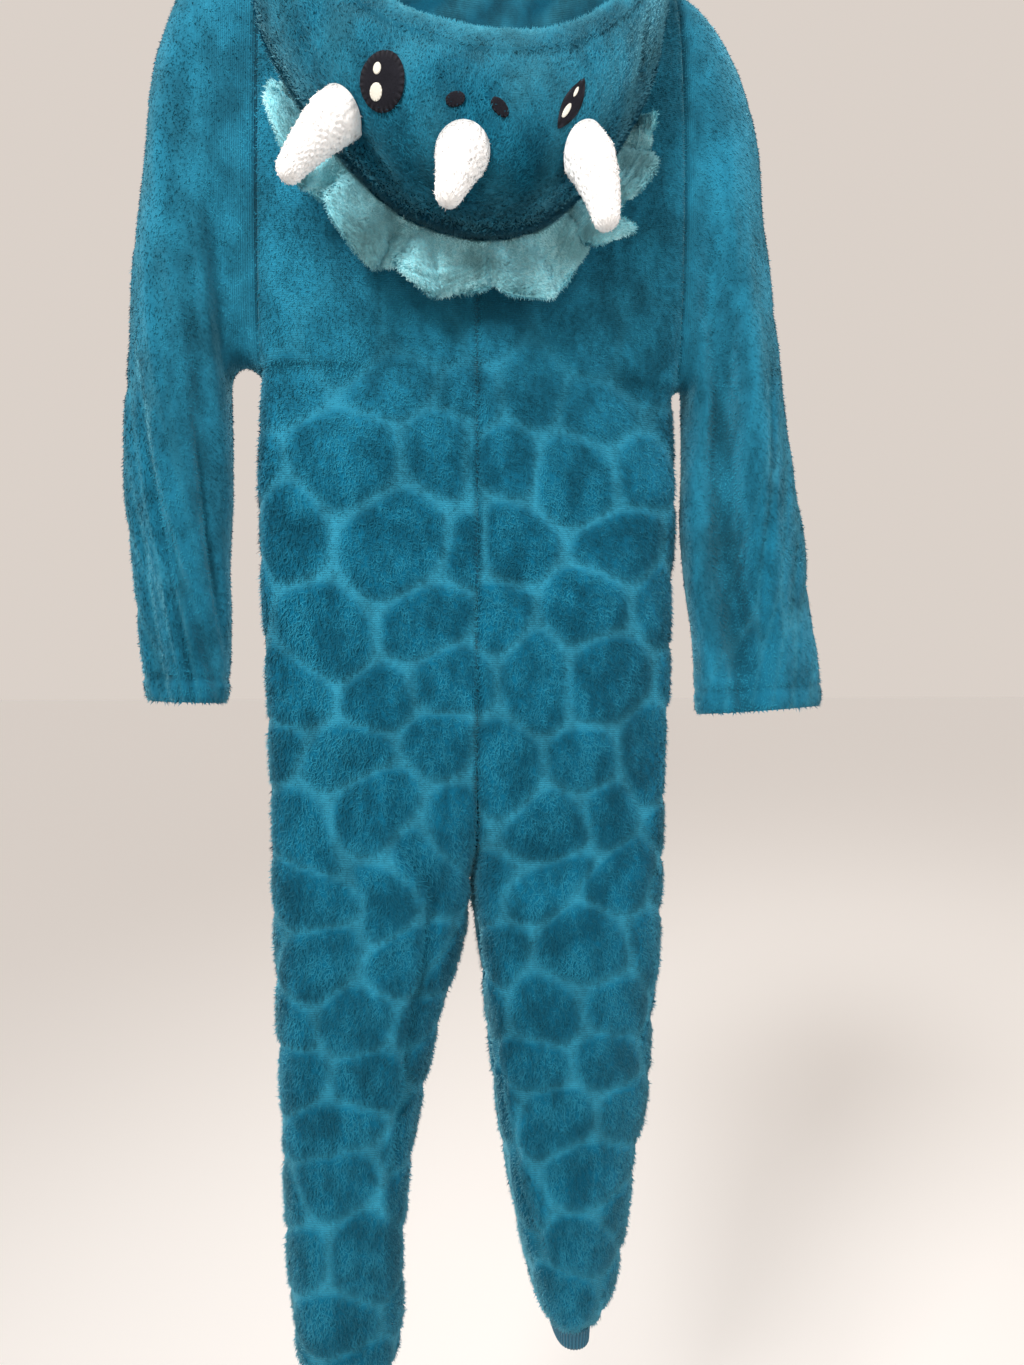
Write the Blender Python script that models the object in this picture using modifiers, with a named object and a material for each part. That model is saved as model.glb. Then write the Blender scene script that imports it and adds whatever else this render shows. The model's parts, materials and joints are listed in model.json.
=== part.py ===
"""A child's hooded plush onesie, hanging on a plain hanger with its hood fallen down its back.

Metres, +Z up. The origin is the place inside the hanger's hook where the rod carries it.
-Y is the garment's back, where the hood hangs, and +Y is its front, with the zip.
-X is the wearer's left. Heights are given as a drop below the rod.
"""

import math

import bmesh
import bpy
import numpy as np
from mathutils import Matrix

# Driving dimensions, in metres
CLOTH = 0.003
SEAM_GAP = 0.0004
LIE_GAP = 0.0004

# Shoulders, neck and armholes
NECK_DROP = 0.082
NECK_HALF_WIDTH = 0.075
NECK_HALF_DEPTH = 0.034
NECK_POWER = 2.6
NECK_SCOOP_POWER = 1.7
BACK_NECK_SCOOP = 0.012
FRONT_NECK_SCOOP = 0.055
SHOULDER_END_DROP = 0.105
UNDERARM_DROP = 0.425
ARMHOLE_X = {"left": 0.157, "right": 0.160}
ARMHOLE_HALF_DEPTH = 0.034

# Where the body divides into two legs
CROTCH_DROP = 0.800
SEAT_CURVE = 0.100

# Grid counts
ARM_STEPS = 12
SHOULDER_COLUMNS = 4
NECK_COLUMNS = 5
TORSO_ROWS = 10
SLEEVE_ROWS = 17
CUFF_ROWS = 2
HOOD_FACE_ROWS = 8
FRILL_COLUMNS = 52
FRILL_ROWS = 4
HORN_SIDES = 14

COLUMNS = SHOULDER_COLUMNS + NECK_COLUMNS

# Panels that are cut where the body divides into legs, so that each of their nodes has a simple hollow
CUT_AT_LEG = ("back_right", "front_right")
LEG_ROW = ARM_STEPS + TORSO_ROWS
LEG_FRACTIONS = (0.09, 0.19, 0.29, 0.39, 0.49, 0.59, 0.69, 0.79, 0.88, 0.945, 0.98, 1.0)

# Half outlines of body and leg: drop, outer edge x, inner edge x, half depth, all away from the centre
OUTLINE = {
    "left": (
        (0.425, 0.158, 0.0000, 0.040),
        (0.500, 0.160, 0.0000, 0.041),
        (0.590, 0.157, 0.0000, 0.042),
        (0.690, 0.152, 0.0000, 0.044),
        (0.780, 0.149, 0.0000, 0.046),
        (0.815, 0.148, 0.0010, 0.045),
        (0.850, 0.147, 0.0080, 0.044),
        (0.905, 0.145, 0.0250, 0.042),
        (0.960, 0.142, 0.0370, 0.040),
        (1.015, 0.140, 0.0480, 0.037),
        (1.060, 0.138, 0.0520, 0.035),
        (1.110, 0.134, 0.0520, 0.034),
        (1.140, 0.130, 0.0540, 0.033),
        (1.155, 0.121, 0.0580, 0.030),
        (1.162, 0.101, 0.0610, 0.026),
    ),
    "right": (
        (0.425, 0.161, 0.0000, 0.040),
        (0.500, 0.163, 0.0000, 0.041),
        (0.590, 0.160, 0.0000, 0.042),
        (0.690, 0.156, 0.0000, 0.044),
        (0.780, 0.150, 0.0000, 0.046),
        (0.815, 0.149, 0.0010, 0.046),
        (0.850, 0.147, 0.0060, 0.046),
        (0.905, 0.142, 0.0120, 0.045),
        (0.960, 0.137, 0.0180, 0.044),
        (1.015, 0.128, 0.0260, 0.043),
        (1.060, 0.120, 0.0350, 0.042),
        (1.095, 0.113, 0.0430, 0.041),
        (1.118, 0.106, 0.0490, 0.039),
        (1.131, 0.100, 0.0540, 0.036),
        (1.138, 0.092, 0.0620, 0.031),
    ),
}
LEG_END = {"left": 1.162, "right": 1.138}
CUFF_LENGTH = 0.016
CUFF_TAPER = 0.90

# Folds across the body and legs: face, start x and drop, end x and drop, height, half width. A trough is below 0
BODY_FOLDS = (
    (-1, -0.074, 0.700, -0.056, 1.080, 0.0060, 0.016),
    (-1, -0.112, 0.640, -0.104, 1.000, -0.0030, 0.020),
    (-1, 0.085, 0.820, 0.075, 1.060, 0.0040, 0.022),
    (-1, 0.000, 0.600, 0.000, 0.740, -0.0040, 0.018),
    (-1, -0.080, 0.560, -0.070, 0.700, 0.0035, 0.035),
    (-1, 0.080, 0.560, 0.075, 0.720, 0.0035, 0.035),
    (1, -0.100, 0.620, -0.085, 1.020, 0.0050, 0.018),
    (1, 0.100, 0.620, 0.075, 0.980, 0.0050, 0.018),
    (1, -0.120, 0.440, -0.070, 0.600, -0.0040, 0.020),
    (1, 0.120, 0.440, 0.070, 0.600, -0.0040, 0.020),
)

# Sleeve rings: inner edge x and drop, outer edge x and drop, half depth, away from the centre
SLEEVES = {
    "left": (
        (0.158, 0.425, 0.157, 0.105, 0.034),
        (0.163, 0.421, 0.180, 0.113, 0.036),
        (0.168, 0.420, 0.204, 0.134, 0.038),
        (0.172, 0.422, 0.221, 0.165, 0.040),
        (0.1750, 0.427, 0.231, 0.210, 0.041),
        (0.1765, 0.436, 0.238, 0.270, 0.042),
        (0.1765, 0.451, 0.245, 0.345, 0.041),
        (0.1755, 0.477, 0.251, 0.420, 0.039),
        (0.1755, 0.515, 0.253, 0.485, 0.037),
        (0.1770, 0.560, 0.249, 0.545, 0.035),
        (0.1780, 0.605, 0.243, 0.600, 0.034),
        (0.1780, 0.640, 0.240, 0.638, 0.033),
        (0.1800, 0.665, 0.236, 0.663, 0.032),
    ),
    "right": (
        (0.161, 0.425, 0.160, 0.105, 0.034),
        (0.1655, 0.421, 0.182, 0.118, 0.036),
        (0.1685, 0.421, 0.202, 0.143, 0.037),
        (0.1700, 0.424, 0.217, 0.176, 0.038),
        (0.1705, 0.430, 0.227, 0.221, 0.038),
        (0.1705, 0.440, 0.235, 0.280, 0.037),
        (0.1700, 0.455, 0.243, 0.350, 0.036),
        (0.1690, 0.478, 0.251, 0.418, 0.034),
        (0.1680, 0.515, 0.262, 0.490, 0.032),
        (0.1690, 0.555, 0.271, 0.550, 0.030),
        (0.1770, 0.605, 0.277, 0.600, 0.029),
        (0.1810, 0.645, 0.284, 0.640, 0.028),
        (0.1840, 0.675, 0.286, 0.668, 0.028),
    ),
}

# Folds along a sleeve: start turn from the outer edge in degrees (the back is above 0) and place along it,
# end turn and place, height, half width in degrees
SLEEVE_FOLDS = {
    "left": (
        (35, 0.55, 60, 0.97, -0.0060, 20),
        (105, 0.18, 150, 0.42, -0.0060, 18),
        (80, 0.12, 120, 0.40, 0.0050, 20),
        (-60, 0.35, -80, 0.90, -0.0050, 22),
    ),
    "right": (
        (118, 0.16, 122, 0.88, -0.0090, 17),
        (85, 0.20, 82, 0.85, 0.0040, 20),
        (150, 0.60, 152, 0.96, 0.0030, 15),
        (-70, 0.30, -95, 0.85, -0.0050, 22),
    ),
}

# Hood: step round the neck (0 and 20 at the zip, 10 at the centre back), crown seam x, y and drop,
# brim x, y and drop, belly
HOOD = (
    (0.0, -0.010, 0.040, 0.116, -0.010, 0.046, 0.090, 0.02),
    (2.5, -0.061, 0.035, 0.084, -0.069, 0.034, 0.054, 0.05),
    (3.75, -0.086, 0.012, 0.062, -0.094, 0.006, 0.038, 0.08),
    (4.4, -0.108, -0.010, 0.068, -0.112, -0.012, 0.044, 0.12),
    (5.0, -0.130, -0.036, 0.096, -0.130, -0.034, 0.060, 0.15),
    (6.0, -0.155, -0.056, 0.185, -0.148, -0.078, 0.118, 0.35),
    (7.0, -0.136, -0.060, 0.241, -0.122, -0.108, 0.173, 0.60),
    (8.0, -0.103, -0.062, 0.284, -0.080, -0.130, 0.212, 0.90),
    (9.0, -0.058, -0.062, 0.324, -0.041, -0.137, 0.230, 1.00),
    (10.0, -0.002, -0.062, 0.337, 0.003, -0.138, 0.233, 1.00),
    (11.0, 0.046, -0.062, 0.323, 0.044, -0.132, 0.222, 0.95),
    (12.0, 0.084, -0.063, 0.284, 0.084, -0.115, 0.187, 0.80),
    (13.0, 0.113, -0.062, 0.235, 0.113, -0.092, 0.140, 0.50),
    (14.0, 0.131, -0.055, 0.165, 0.131, -0.062, 0.092, 0.30),
    (15.0, 0.122, -0.036, 0.096, 0.126, -0.034, 0.060, 0.15),
    (15.6, 0.108, -0.010, 0.068, 0.112, -0.012, 0.044, 0.12),
    (16.25, 0.086, 0.012, 0.062, 0.094, 0.006, 0.038, 0.08),
    (17.5, 0.061, 0.035, 0.084, 0.069, 0.034, 0.054, 0.05),
    (20.0, 0.010, 0.040, 0.116, 0.010, 0.046, 0.090, 0.02),
)
HOOD_ROLL = (0.015, 0.008, 0.036)
NECK_SEAM_LIFT = 0.0009
HOOD_FULL_ROLL = 0.080
HOOD_HANG_DEPTH = 0.010
HOOD_HANG_SHARES = (0.1, 0.0, 0.45)
HOOD_HALF_SPAN = 0.12
HOOD_BACK_SHARES = (0.0, 0.04, 0.10, 0.19, 0.32, 0.50, 0.73, 1.0)
BELLY_BACK = 0.080
BELLY_DROP = 0.012
BELLY_SIDE = 0.014
BROW_BACK = 0.036
BROW_DROP = 0.070

# Frill along the crown seam: start and end step, its width there and at the middle, waves and their reach
FRILL_FROM = 6.95
FRILL_TO = 13.0
FRILL_END_WIDTH = 0.020
FRILL_WIDTH = 0.043
FRILL_THICKNESS = 0.006
FRILL_WAVES = 7.5
FRILL_WAVE = 0.0085
FRILL_SCALLOP = 0.10
FRILL_LEAN = 0.016
FRILL_GAP = 0.0008

# Face on the hood: step round the neck and share of the way from crown seam to brim, half width and height, tilt
EYES = {
    "left": (8.48, 0.623, 0.0140, 0.0190, -14.0),
    "right": (10.93, 0.650, 0.0075, 0.0165, 28.0),
}
EYE_SHINES = ((-0.24, -0.42, 0.20, 0.22), (-0.22, 0.34, 0.30, 0.31))
NOSTRILS = {"left": (9.38, 0.652, 0.0062, 0.0044, -25.0), "right": (9.92, 0.645, 0.0068, 0.0042, 42.0)}
FELT = 0.0012
FACE_LIFT = 0.0012

# Horns: step, share, base radius, tip radius, length, way that the tip points, droop
HORNS = {
    "left": (8.10, 0.350, 0.0160, 0.0095, 0.060, (-0.66, -0.22, -0.70), 0.004),
    "middle": (9.56, 0.490, 0.0155, 0.0090, 0.054, (-0.26, -0.50, -0.78), 0.006),
    "right": (11.22, 0.440, 0.0155, 0.0100, 0.062, (0.16, -0.30, -0.92), 0.004),
}
HORN_ROWS = 8

# Zip down the centre front
ZIP_END_DROP = 0.640
TAPE_SHARE = 0.62
TAPE = 0.0009
CHAIN_HALF_WIDTH = 0.0026
CHAIN = 0.0020
CHAIN_EDGE = 0.03
SLIDER_DROP = 0.158
SLIDER_SIZE = (0.0092, 0.0034, 0.0120)
BRIDGE_RADIUS = 0.0008
BRIDGE_RISE = 0.0034
BRIDGE_INSET = 0.0022
BRIDGE_ROOT = 0.0006
PULL_AXIS_RISE = 0.0013
PULL_SIZE = (0.0066, 0.0012, 0.0260)
PULL_WINDOW = (0.0036, 0.0072)
PULL_BAR = 0.0012

# Hanger
HANGER_RADIUS = 0.0062
HANGER_TIP_X = 0.186
HANGER_CLEARANCE = 0.0111
HOOK_RADIUS = 0.0022
HOOK_INSIDE = 0.020
HANGER_BEND = 0.030
HANGER_SINK = 0.005
HANGER_DROOP_FROM = 0.010
HANGER_DROOP = 12.0
HOOK_NECK = (0.006, 0.008)

COLOURS = {
    "plush": ((0.020, 0.180, 0.270), 0.85, 0.0),
    "frill_plush": ((0.120, 0.380, 0.400), 0.85, 0.0),
    "sherpa": ((0.86, 0.87, 0.87), 0.90, 0.0),
    "black_felt": ((0.010, 0.010, 0.014), 0.80, 0.0),
    "white_felt": ((0.86, 0.85, 0.78), 0.80, 0.0),
    "rib_knit": ((0.020, 0.110, 0.190), 0.85, 0.0),
    "zip_tape": ((0.020, 0.150, 0.210), 0.70, 0.0),
    "zip_metal": ((0.55, 0.56, 0.58), 0.30, 1.0),
    "hanger_plastic": ((0.80, 0.80, 0.78), 0.45, 0.0),
    "hanger_steel": ((0.62, 0.63, 0.65), 0.28, 1.0),
}
SIGNS = {"left": -1.0, "right": 1.0}
BACK, FRONT = -1.0, 1.0


def smooth(at, knots, values):
    """A smooth curve through table values: a cubic on each span, with its slopes from the neighbours."""
    at = np.asarray(at, float)
    knots = np.asarray(knots, float)
    values = np.asarray(values, float)
    slopes = np.gradient(values, knots, axis=0)
    span = np.clip(np.searchsorted(knots, at) - 1, 0, len(knots) - 2)
    width = knots[span + 1] - knots[span]
    t = (at - knots[span]) / width
    if values.ndim > 1:
        t, width = t[..., None], width[..., None]
    return (
        (2 * t**3 - 3 * t**2 + 1) * values[span]
        + (t**3 - 2 * t**2 + t) * width * slopes[span]
        + (3 * t**2 - 2 * t**3) * values[span + 1]
        + (t**3 - t**2) * width * slopes[span + 1]
    )


def unit(vectors):
    vectors = np.asarray(vectors, float)
    length = np.linalg.norm(vectors, axis=-1, keepdims=True)
    return vectors / np.maximum(length, 1e-12)


def even_arc(x, y, count):
    """Points at even steps along a finely drawn outline."""
    run = np.concatenate([[0.0], np.cumsum(np.hypot(np.diff(x), np.diff(y)))])
    at = np.linspace(0.0, run[-1], count + 1)
    return np.interp(at, run, x), np.interp(at, run, y)


def rounded_half(outer, inner, depth, whole, power=2.6, fine=240):
    """Half a rounded section, from its outer edge round to its middle, or on to its inner edge."""
    turn = np.linspace(0.0, math.pi if whole else math.pi / 2, fine)
    half = (outer - inner) / (2 if whole else 1)
    middle = (outer + inner) / 2 if whole else inner
    x = middle + half * np.sign(np.cos(turn)) * np.abs(np.cos(turn)) ** (2 / power)
    y = depth * np.abs(np.sin(turn)) ** (2 / power)
    return even_arc(x, y, COLUMNS)


def ridge(x, drop, start_x, start_drop, end_x, end_drop, height, half_width):
    """A long soft ridge, or a trough, that fades at both ends."""
    run = np.clip((drop - start_drop) / (end_drop - start_drop), -0.5, 1.5)
    line = start_x + (end_x - start_x) * run
    along = np.clip(4 * np.minimum(run + 0.15, 1.15 - run), 0.0, 1.0)
    return height * np.exp(-(((x - line) / half_width) ** 2)) * along * along * (3 - 2 * along)


def body_row(side, drop):
    """One level of a body panel: x away from the centre, depth away from the middle."""
    knots, outer, inner, depth = np.array(OUTLINE[side]).T
    out, ins, deep = (smooth(drop, knots, v) for v in (outer, inner, depth))
    ins = max(float(ins), 0.0)
    torso_x, torso_y = rounded_half(out, 0.0, deep, False)
    leg_x, leg_y = rounded_half(out, ins, deep, True)
    fall = np.clip((drop - (CROTCH_DROP - SEAT_CURVE)) / SEAT_CURVE, 0.0, 1.0)
    split = 1.0 - math.sqrt(1.0 - fall**2)
    return torso_x + (leg_x - torso_x) * split, torso_y + (leg_y - torso_y) * split


def top_edge(side, face):
    """The shoulder seam and neckline, from the armhole to the centre: x, y and drop at each column."""
    arm = ARMHOLE_X[side]
    turn = np.linspace(0.0, math.pi / 2, NECK_COLUMNS + 1)
    round_it = 2 / NECK_POWER
    neck_x = NECK_HALF_WIDTH * np.maximum(np.cos(turn[1:]), 0.0) ** round_it
    x = np.concatenate([np.linspace(arm, NECK_HALF_WIDTH, SHOULDER_COLUMNS + 1), neck_x])
    bow = np.concatenate([np.zeros(SHOULDER_COLUMNS + 1), np.sin(turn[1:])])
    scoop = BACK_NECK_SCOOP if face == BACK else FRONT_NECK_SCOOP
    slope = (SHOULDER_END_DROP - NECK_DROP) / (arm - NECK_HALF_WIDTH)
    drop = NECK_DROP + np.maximum(x - NECK_HALF_WIDTH, 0.0) * slope + scoop * bow**NECK_SCOOP_POWER
    return x, NECK_HALF_DEPTH * bow**round_it, drop


def body_panel(side, face):
    """A front or back: one cloth from shoulder seam to ankle, between the side seam and the centre seam."""
    rows = []
    side_x, side_y = body_row(side, UNDERARM_DROP)
    top_x, top_y, top_drop = top_edge(side, face)
    deepest = side_y[-1]
    middle = side_y / deepest
    for turn in np.linspace(0.0, math.pi, ARM_STEPS + 1)[:-1]:
        high = (1 + math.cos(turn)) / 2
        arm = ARMHOLE_HALF_DEPTH * math.sin(turn) ** 0.75
        full = math.sin(min(turn, math.pi / 2)) ** 0.75
        x = side_x + (top_x - side_x) * high
        y = arm * (1 - middle) + middle * deepest * full + top_y * (1 - full)
        level = SHOULDER_END_DROP + (UNDERARM_DROP - SHOULDER_END_DROP) * (1 - high)
        drop = level + (top_drop - SHOULDER_END_DROP) * high**1.5
        rows.append((x, y, drop))
    torso = np.linspace(UNDERARM_DROP, CROTCH_DROP, TORSO_ROWS + 1)
    leg = CROTCH_DROP + (LEG_END[side] - CROTCH_DROP) * np.array(LEG_FRACTIONS)
    for drop in np.concatenate([torso, leg]):
        x, y = body_row(side, drop)
        rows.append((x, y, np.full(COLUMNS + 1, drop)))
    x, y, drop = (np.array([r[i] for r in rows]) for i in range(3))
    x = x * SIGNS[side]
    inside = np.clip(y / 0.030, 0.0, 1.0) ** 2
    for fold_face, *fold in BODY_FOLDS:
        if fold_face == face:
            y = y + ridge(x, drop, *fold) * inside
    return np.stack([x, y * face, -drop], axis=-1)


def sleeve(side, back, front):
    """A sleeve: rings that swing from the armhole, upright, to the wrist, level."""
    table = np.array(SLEEVES[side])
    place = np.linspace(0.0, 1.0, len(table))
    turn = np.linspace(0.0, math.pi, ARM_STEPS + 1)
    turns = np.concatenate([turn, -turn[1:-1][::-1]])
    rings = [np.concatenate([back, front[1:-1][::-1]])]
    for at in np.linspace(0.0, 1.0, SLEEVE_ROWS + 1)[1:]:
        in_x, in_drop, out_x, out_drop, depth = smooth(at, place, table)
        swell = sum(
            ridge(np.degrees(turns), at, a, a_at, b, b_at, height, wide)
            for a, a_at, b, b_at, height, wide in SLEEVE_FOLDS[side]
        )
        round_it = 0.75 + 0.10 * at
        across = np.cos(turns)
        deep = depth * np.abs(np.sin(turns)) ** round_it
        long_half = np.hypot(out_x - in_x, out_drop - in_drop) / 2
        lean = 1 + swell * across**2 / long_half
        x = (out_x + in_x) / 2 + (out_x - in_x) / 2 * across * lean
        drop = (out_drop + in_drop) / 2 + (out_drop - in_drop) / 2 * across * lean
        y = -np.sign(turns) * (deep + swell * np.abs(np.sin(turns)))
        rings.append(np.stack([x * SIGNS[side], y, -drop], axis=-1))
    return np.array(rings)


def leg_cuff(side, last_back, last_front):
    """A rib cuff: it goes on from the leg's last ring, and draws in a little."""
    ring = np.concatenate([last_back, last_front[1:-1][::-1]])
    centre = ring.mean(axis=0)
    rings = []
    for at in np.linspace(0.0, 1.0, CUFF_ROWS + 1):
        shrink = 1 - (1 - CUFF_TAPER) * math.sqrt(at)
        rings.append(centre + (ring - centre) * shrink - np.array([0.0, 0.0, CUFF_LENGTH * at]))
    return np.array(rings)


def hood_curves(steps):
    table = np.array(HOOD)
    seam = smooth(steps, table[:, 0], table[:, 1:4]) * (1, 1, -1)
    brim = smooth(steps, table[:, 0], table[:, 4:7]) * (1, 1, -1)
    belly = smooth(steps, table[:, 0], table[:, 7])[:, None]
    return seam, brim, belly


def bezier(a, b, c, d, at):
    at = np.asarray(at)[:, None, None]
    return (1 - at) ** 3 * a + 3 * (1 - at) ** 2 * at * b + 3 * (1 - at) * at**2 * c + at**3 * d


def hood_sheets(neckline):
    """The hood, fallen back: from the neckline down the back to the crown seam, then up its face to the brim."""
    halves = np.linspace(0.0, 20.0, len(neckline))
    seam, brim, belly = hood_curves(halves)
    outward = neckline / (NECK_HALF_WIDTH, NECK_HALF_DEPTH, 1.0) * (1.0, 1.0, 0.0)
    long_way = np.linalg.norm(seam - neckline, axis=1, keepdims=True)
    roll = np.minimum(long_way / HOOD_FULL_ROLL, 1.0)
    rise = neckline + roll * (outward * HOOD_ROLL[0] + np.array([0.0, -HOOD_ROLL[1], HOOD_ROLL[2]]))
    hang = seam + np.array([0.0, HOOD_HANG_DEPTH, 0.0]) * roll + (neckline - seam) * np.array(HOOD_HANG_SHARES)
    back = bezier(neckline, rise, hang, seam, HOOD_BACK_SHARES)
    sideways = seam[:, :1] / HOOD_HALF_SPAN * np.array([1.0, 0.0, 0.0])
    low = seam + belly * (sideways * BELLY_SIDE + np.array([0.0, -BELLY_BACK, -BELLY_DROP]))
    high = brim + belly * (sideways * BELLY_SIDE + np.array([0.0, -BROW_BACK, -BROW_DROP]))
    face = bezier(seam, low, high, brim, np.linspace(0, 1, HOOD_FACE_ROWS + 1))
    return back, face


def grid_normals(points, wrap, outside):
    """Area-weighted normals at a grid's points, turned to the side that outside, at the middle, points to."""
    ring = np.concatenate([points, points[:, :1]], axis=1) if wrap else points
    a, b, c, d = ring[:-1, :-1], ring[:-1, 1:], ring[1:, 1:], ring[1:, :-1]
    faces = np.cross(c - a, d - b)
    normals = np.zeros_like(ring)
    start, rest = slice(0, -1), slice(1, None)
    for rows, columns in ((start, start), (start, rest), (rest, rest), (rest, start)):
        normals[rows, columns] += faces
    if wrap:
        normals[:, 0] += normals[:, -1]
        normals = normals[:, :-1]
    middle = normals[normals.shape[0] // 2, normals.shape[1] // 2]
    return normals * (1.0 if np.dot(middle, outside) > 0 else -1.0)


def share_normals(sheets):
    """Where sheets meet, their points take the direction halfway between the normals of the seam's two sides."""
    total = {}
    for sheet in sheets.values():
        keys = np.round(sheet["points"].reshape(-1, 3) * 2e4).astype(int)
        for key, normal in zip(map(tuple, keys), unit(sheet["normals"]).reshape(-1, 3)):
            sides = total.setdefault(key, {})
            sides[sheet["cut"]] = sides.get(sheet["cut"], 0.0) + normal
    for sheet in sheets.values():
        keys = np.round(sheet["points"].reshape(-1, 3) * 2e4).astype(int)
        shared = np.array([sum(unit(side) for side in total[key].values()) for key in map(tuple, keys)])
        sheet["normals"] = unit(shared).reshape(sheet["points"].shape)


def part_edges(points, wrap):
    """Moves the grid's edges in by half a seam's gap."""
    moved = points.copy()
    for first, second in ((0, 1), (-1, -2)):
        moved[first] += unit(points[second] - points[first]) * SEAM_GAP / 2
        if not wrap:
            moved[:, first] += unit(points[:, second] - points[:, first]) * SEAM_GAP / 2
    return moved - points


def material(name):
    colour, roughness, metallic = COLOURS[name]
    made = bpy.data.materials.get(name) or bpy.data.materials.new(name)
    made.use_nodes = True
    shader = made.node_tree.nodes["Principled BSDF"]
    shader.inputs["Base Color"].default_value = (*colour, 1.0)
    shader.inputs["Roughness"].default_value = roughness
    shader.inputs["Metallic"].default_value = metallic
    return made


def keep(name, mesh, finish, collection):
    made = bpy.data.objects.new(name, mesh)
    collection.objects.link(made)
    mesh.materials.clear()
    mesh.materials.append(material(finish))
    mesh.shade_smooth()
    mesh.set_sharp_from_angle(angle=math.radians(40))
    return made


def wall(name, outer, inner, wrap, finish, collection):
    """A closed wall between two grids of points, with its edges filled."""
    rows, columns = outer.shape[:2]
    mesh = bpy.data.meshes.new(name)
    shape = bmesh.new()
    points = [[[shape.verts.new(p) for p in row] for row in grid] for grid in (outer, inner)]
    last = columns if wrap else columns - 1
    for r in range(rows - 1):
        for c in range(last):
            n = (c + 1) % columns
            shape.faces.new([points[0][r][c], points[0][r][n], points[0][r + 1][n], points[0][r + 1][c]])
            shape.faces.new([points[1][r][c], points[1][r + 1][c], points[1][r + 1][n], points[1][r][n]])
    for r in (0, rows - 1):
        for c in range(last):
            n = (c + 1) % columns
            shape.faces.new([points[0][r][c], points[0][r][n], points[1][r][n], points[1][r][c]])
    if not wrap:
        for c in (0, columns - 1):
            for r in range(rows - 1):
                shape.faces.new([points[0][r][c], points[0][r + 1][c], points[1][r + 1][c], points[1][r][c]])
    bmesh.ops.recalc_face_normals(shape, faces=shape.faces)
    shape.to_mesh(mesh)
    shape.free()
    return keep(name, mesh, finish, collection)


def lofted(name, rings, finish, collection):
    """A solid through closed rings, with a fan at each end."""
    mesh = bpy.data.meshes.new(name)
    shape = bmesh.new()
    made = [[shape.verts.new(p) for p in ring] for ring in rings]
    count = len(made[0])
    for low, high in zip(made, made[1:]):
        for i in range(count):
            n = (i + 1) % count
            shape.faces.new([low[i], low[n], high[n], high[i]])
    for ring, points in ((made[0], rings[0]), (made[-1], rings[-1])):
        centre = shape.verts.new(np.mean(points, axis=0))
        for i in range(count):
            shape.faces.new([ring[i], ring[(i + 1) % count], centre])
    bmesh.ops.recalc_face_normals(shape, faces=shape.faces)
    shape.to_mesh(mesh)
    shape.free()
    return keep(name, mesh, finish, collection)


class Surface:
    """A grid of points read at any place between them, as the flat faces lie."""

    def __init__(self, points, normals):
        self.points, self.normals = points, normals

    def read(self, grid, row, column):
        r = np.clip(np.floor(row).astype(int), 0, grid.shape[0] - 2)
        c = np.clip(np.floor(column).astype(int), 0, grid.shape[1] - 2)
        s, t = (row - r)[..., None], (column - c)[..., None]
        low = grid[r, c] * (1 - t) + grid[r, c + 1] * t
        high = grid[r + 1, c] * (1 - t) + grid[r + 1, c + 1] * t
        return low * (1 - s) + high * s

    def at(self, row, column, lift=0.0):
        row, column = np.asarray(row, float), np.asarray(column, float)
        return self.read(self.points, row, column) + unit(self.read(self.normals, row, column)) * lift

    def frame(self, row, column):
        """The way to the right, the way down and the normal at one place, and grid steps for each metre."""
        step = 0.05
        along = (self.at(row, column + step) - self.at(row, column - step)) / (2 * step)
        up = (self.at(row + step, column) - self.at(row - step, column)) / (2 * step)
        normal = unit(self.read(self.normals, np.asarray(row, float), np.asarray(column, float)))
        right = unit(along)
        down = unit(np.cross(right, normal))
        down = down * (-1.0 if down[2] > 0 else 1.0)
        steps = [[np.dot(up, right), np.dot(along, right)], [np.dot(up, down), np.dot(along, down)]]
        return right, down, normal, np.linalg.inv(np.array(steps))

    def ring(self, row, column, half_width, half_height, turn, share, sides, lift):
        """An oval drawn on the surface, its sizes in metres."""
        *_, solve = self.frame(row, column)
        angle = np.linspace(0, 2 * math.pi, sides, endpoint=False)
        tilt = math.radians(turn)
        across = half_width * share * np.cos(angle)
        down = half_height * share * np.sin(angle)
        right = across * math.cos(tilt) - down * math.sin(tilt)
        below = across * math.sin(tilt) + down * math.cos(tilt)
        moves = np.stack([right, below], -1) @ solve.T
        return self.at(row + moves[:, 0], column + moves[:, 1], lift)


def felt_disc(name, face, oval, sides, lift, thick, finish, collection):
    """A flat oval piece sewn on the hood, following its surface. oval is its place, half sizes and tilt."""
    shares = (0.35, 0.7, 1.0)
    under = [face.ring(*oval, share, sides, lift) for share in shares]
    over = [face.ring(*oval, share, sides, lift + thick) for share in shares[::-1]]
    return lofted(name, under + over, finish, collection)


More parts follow.
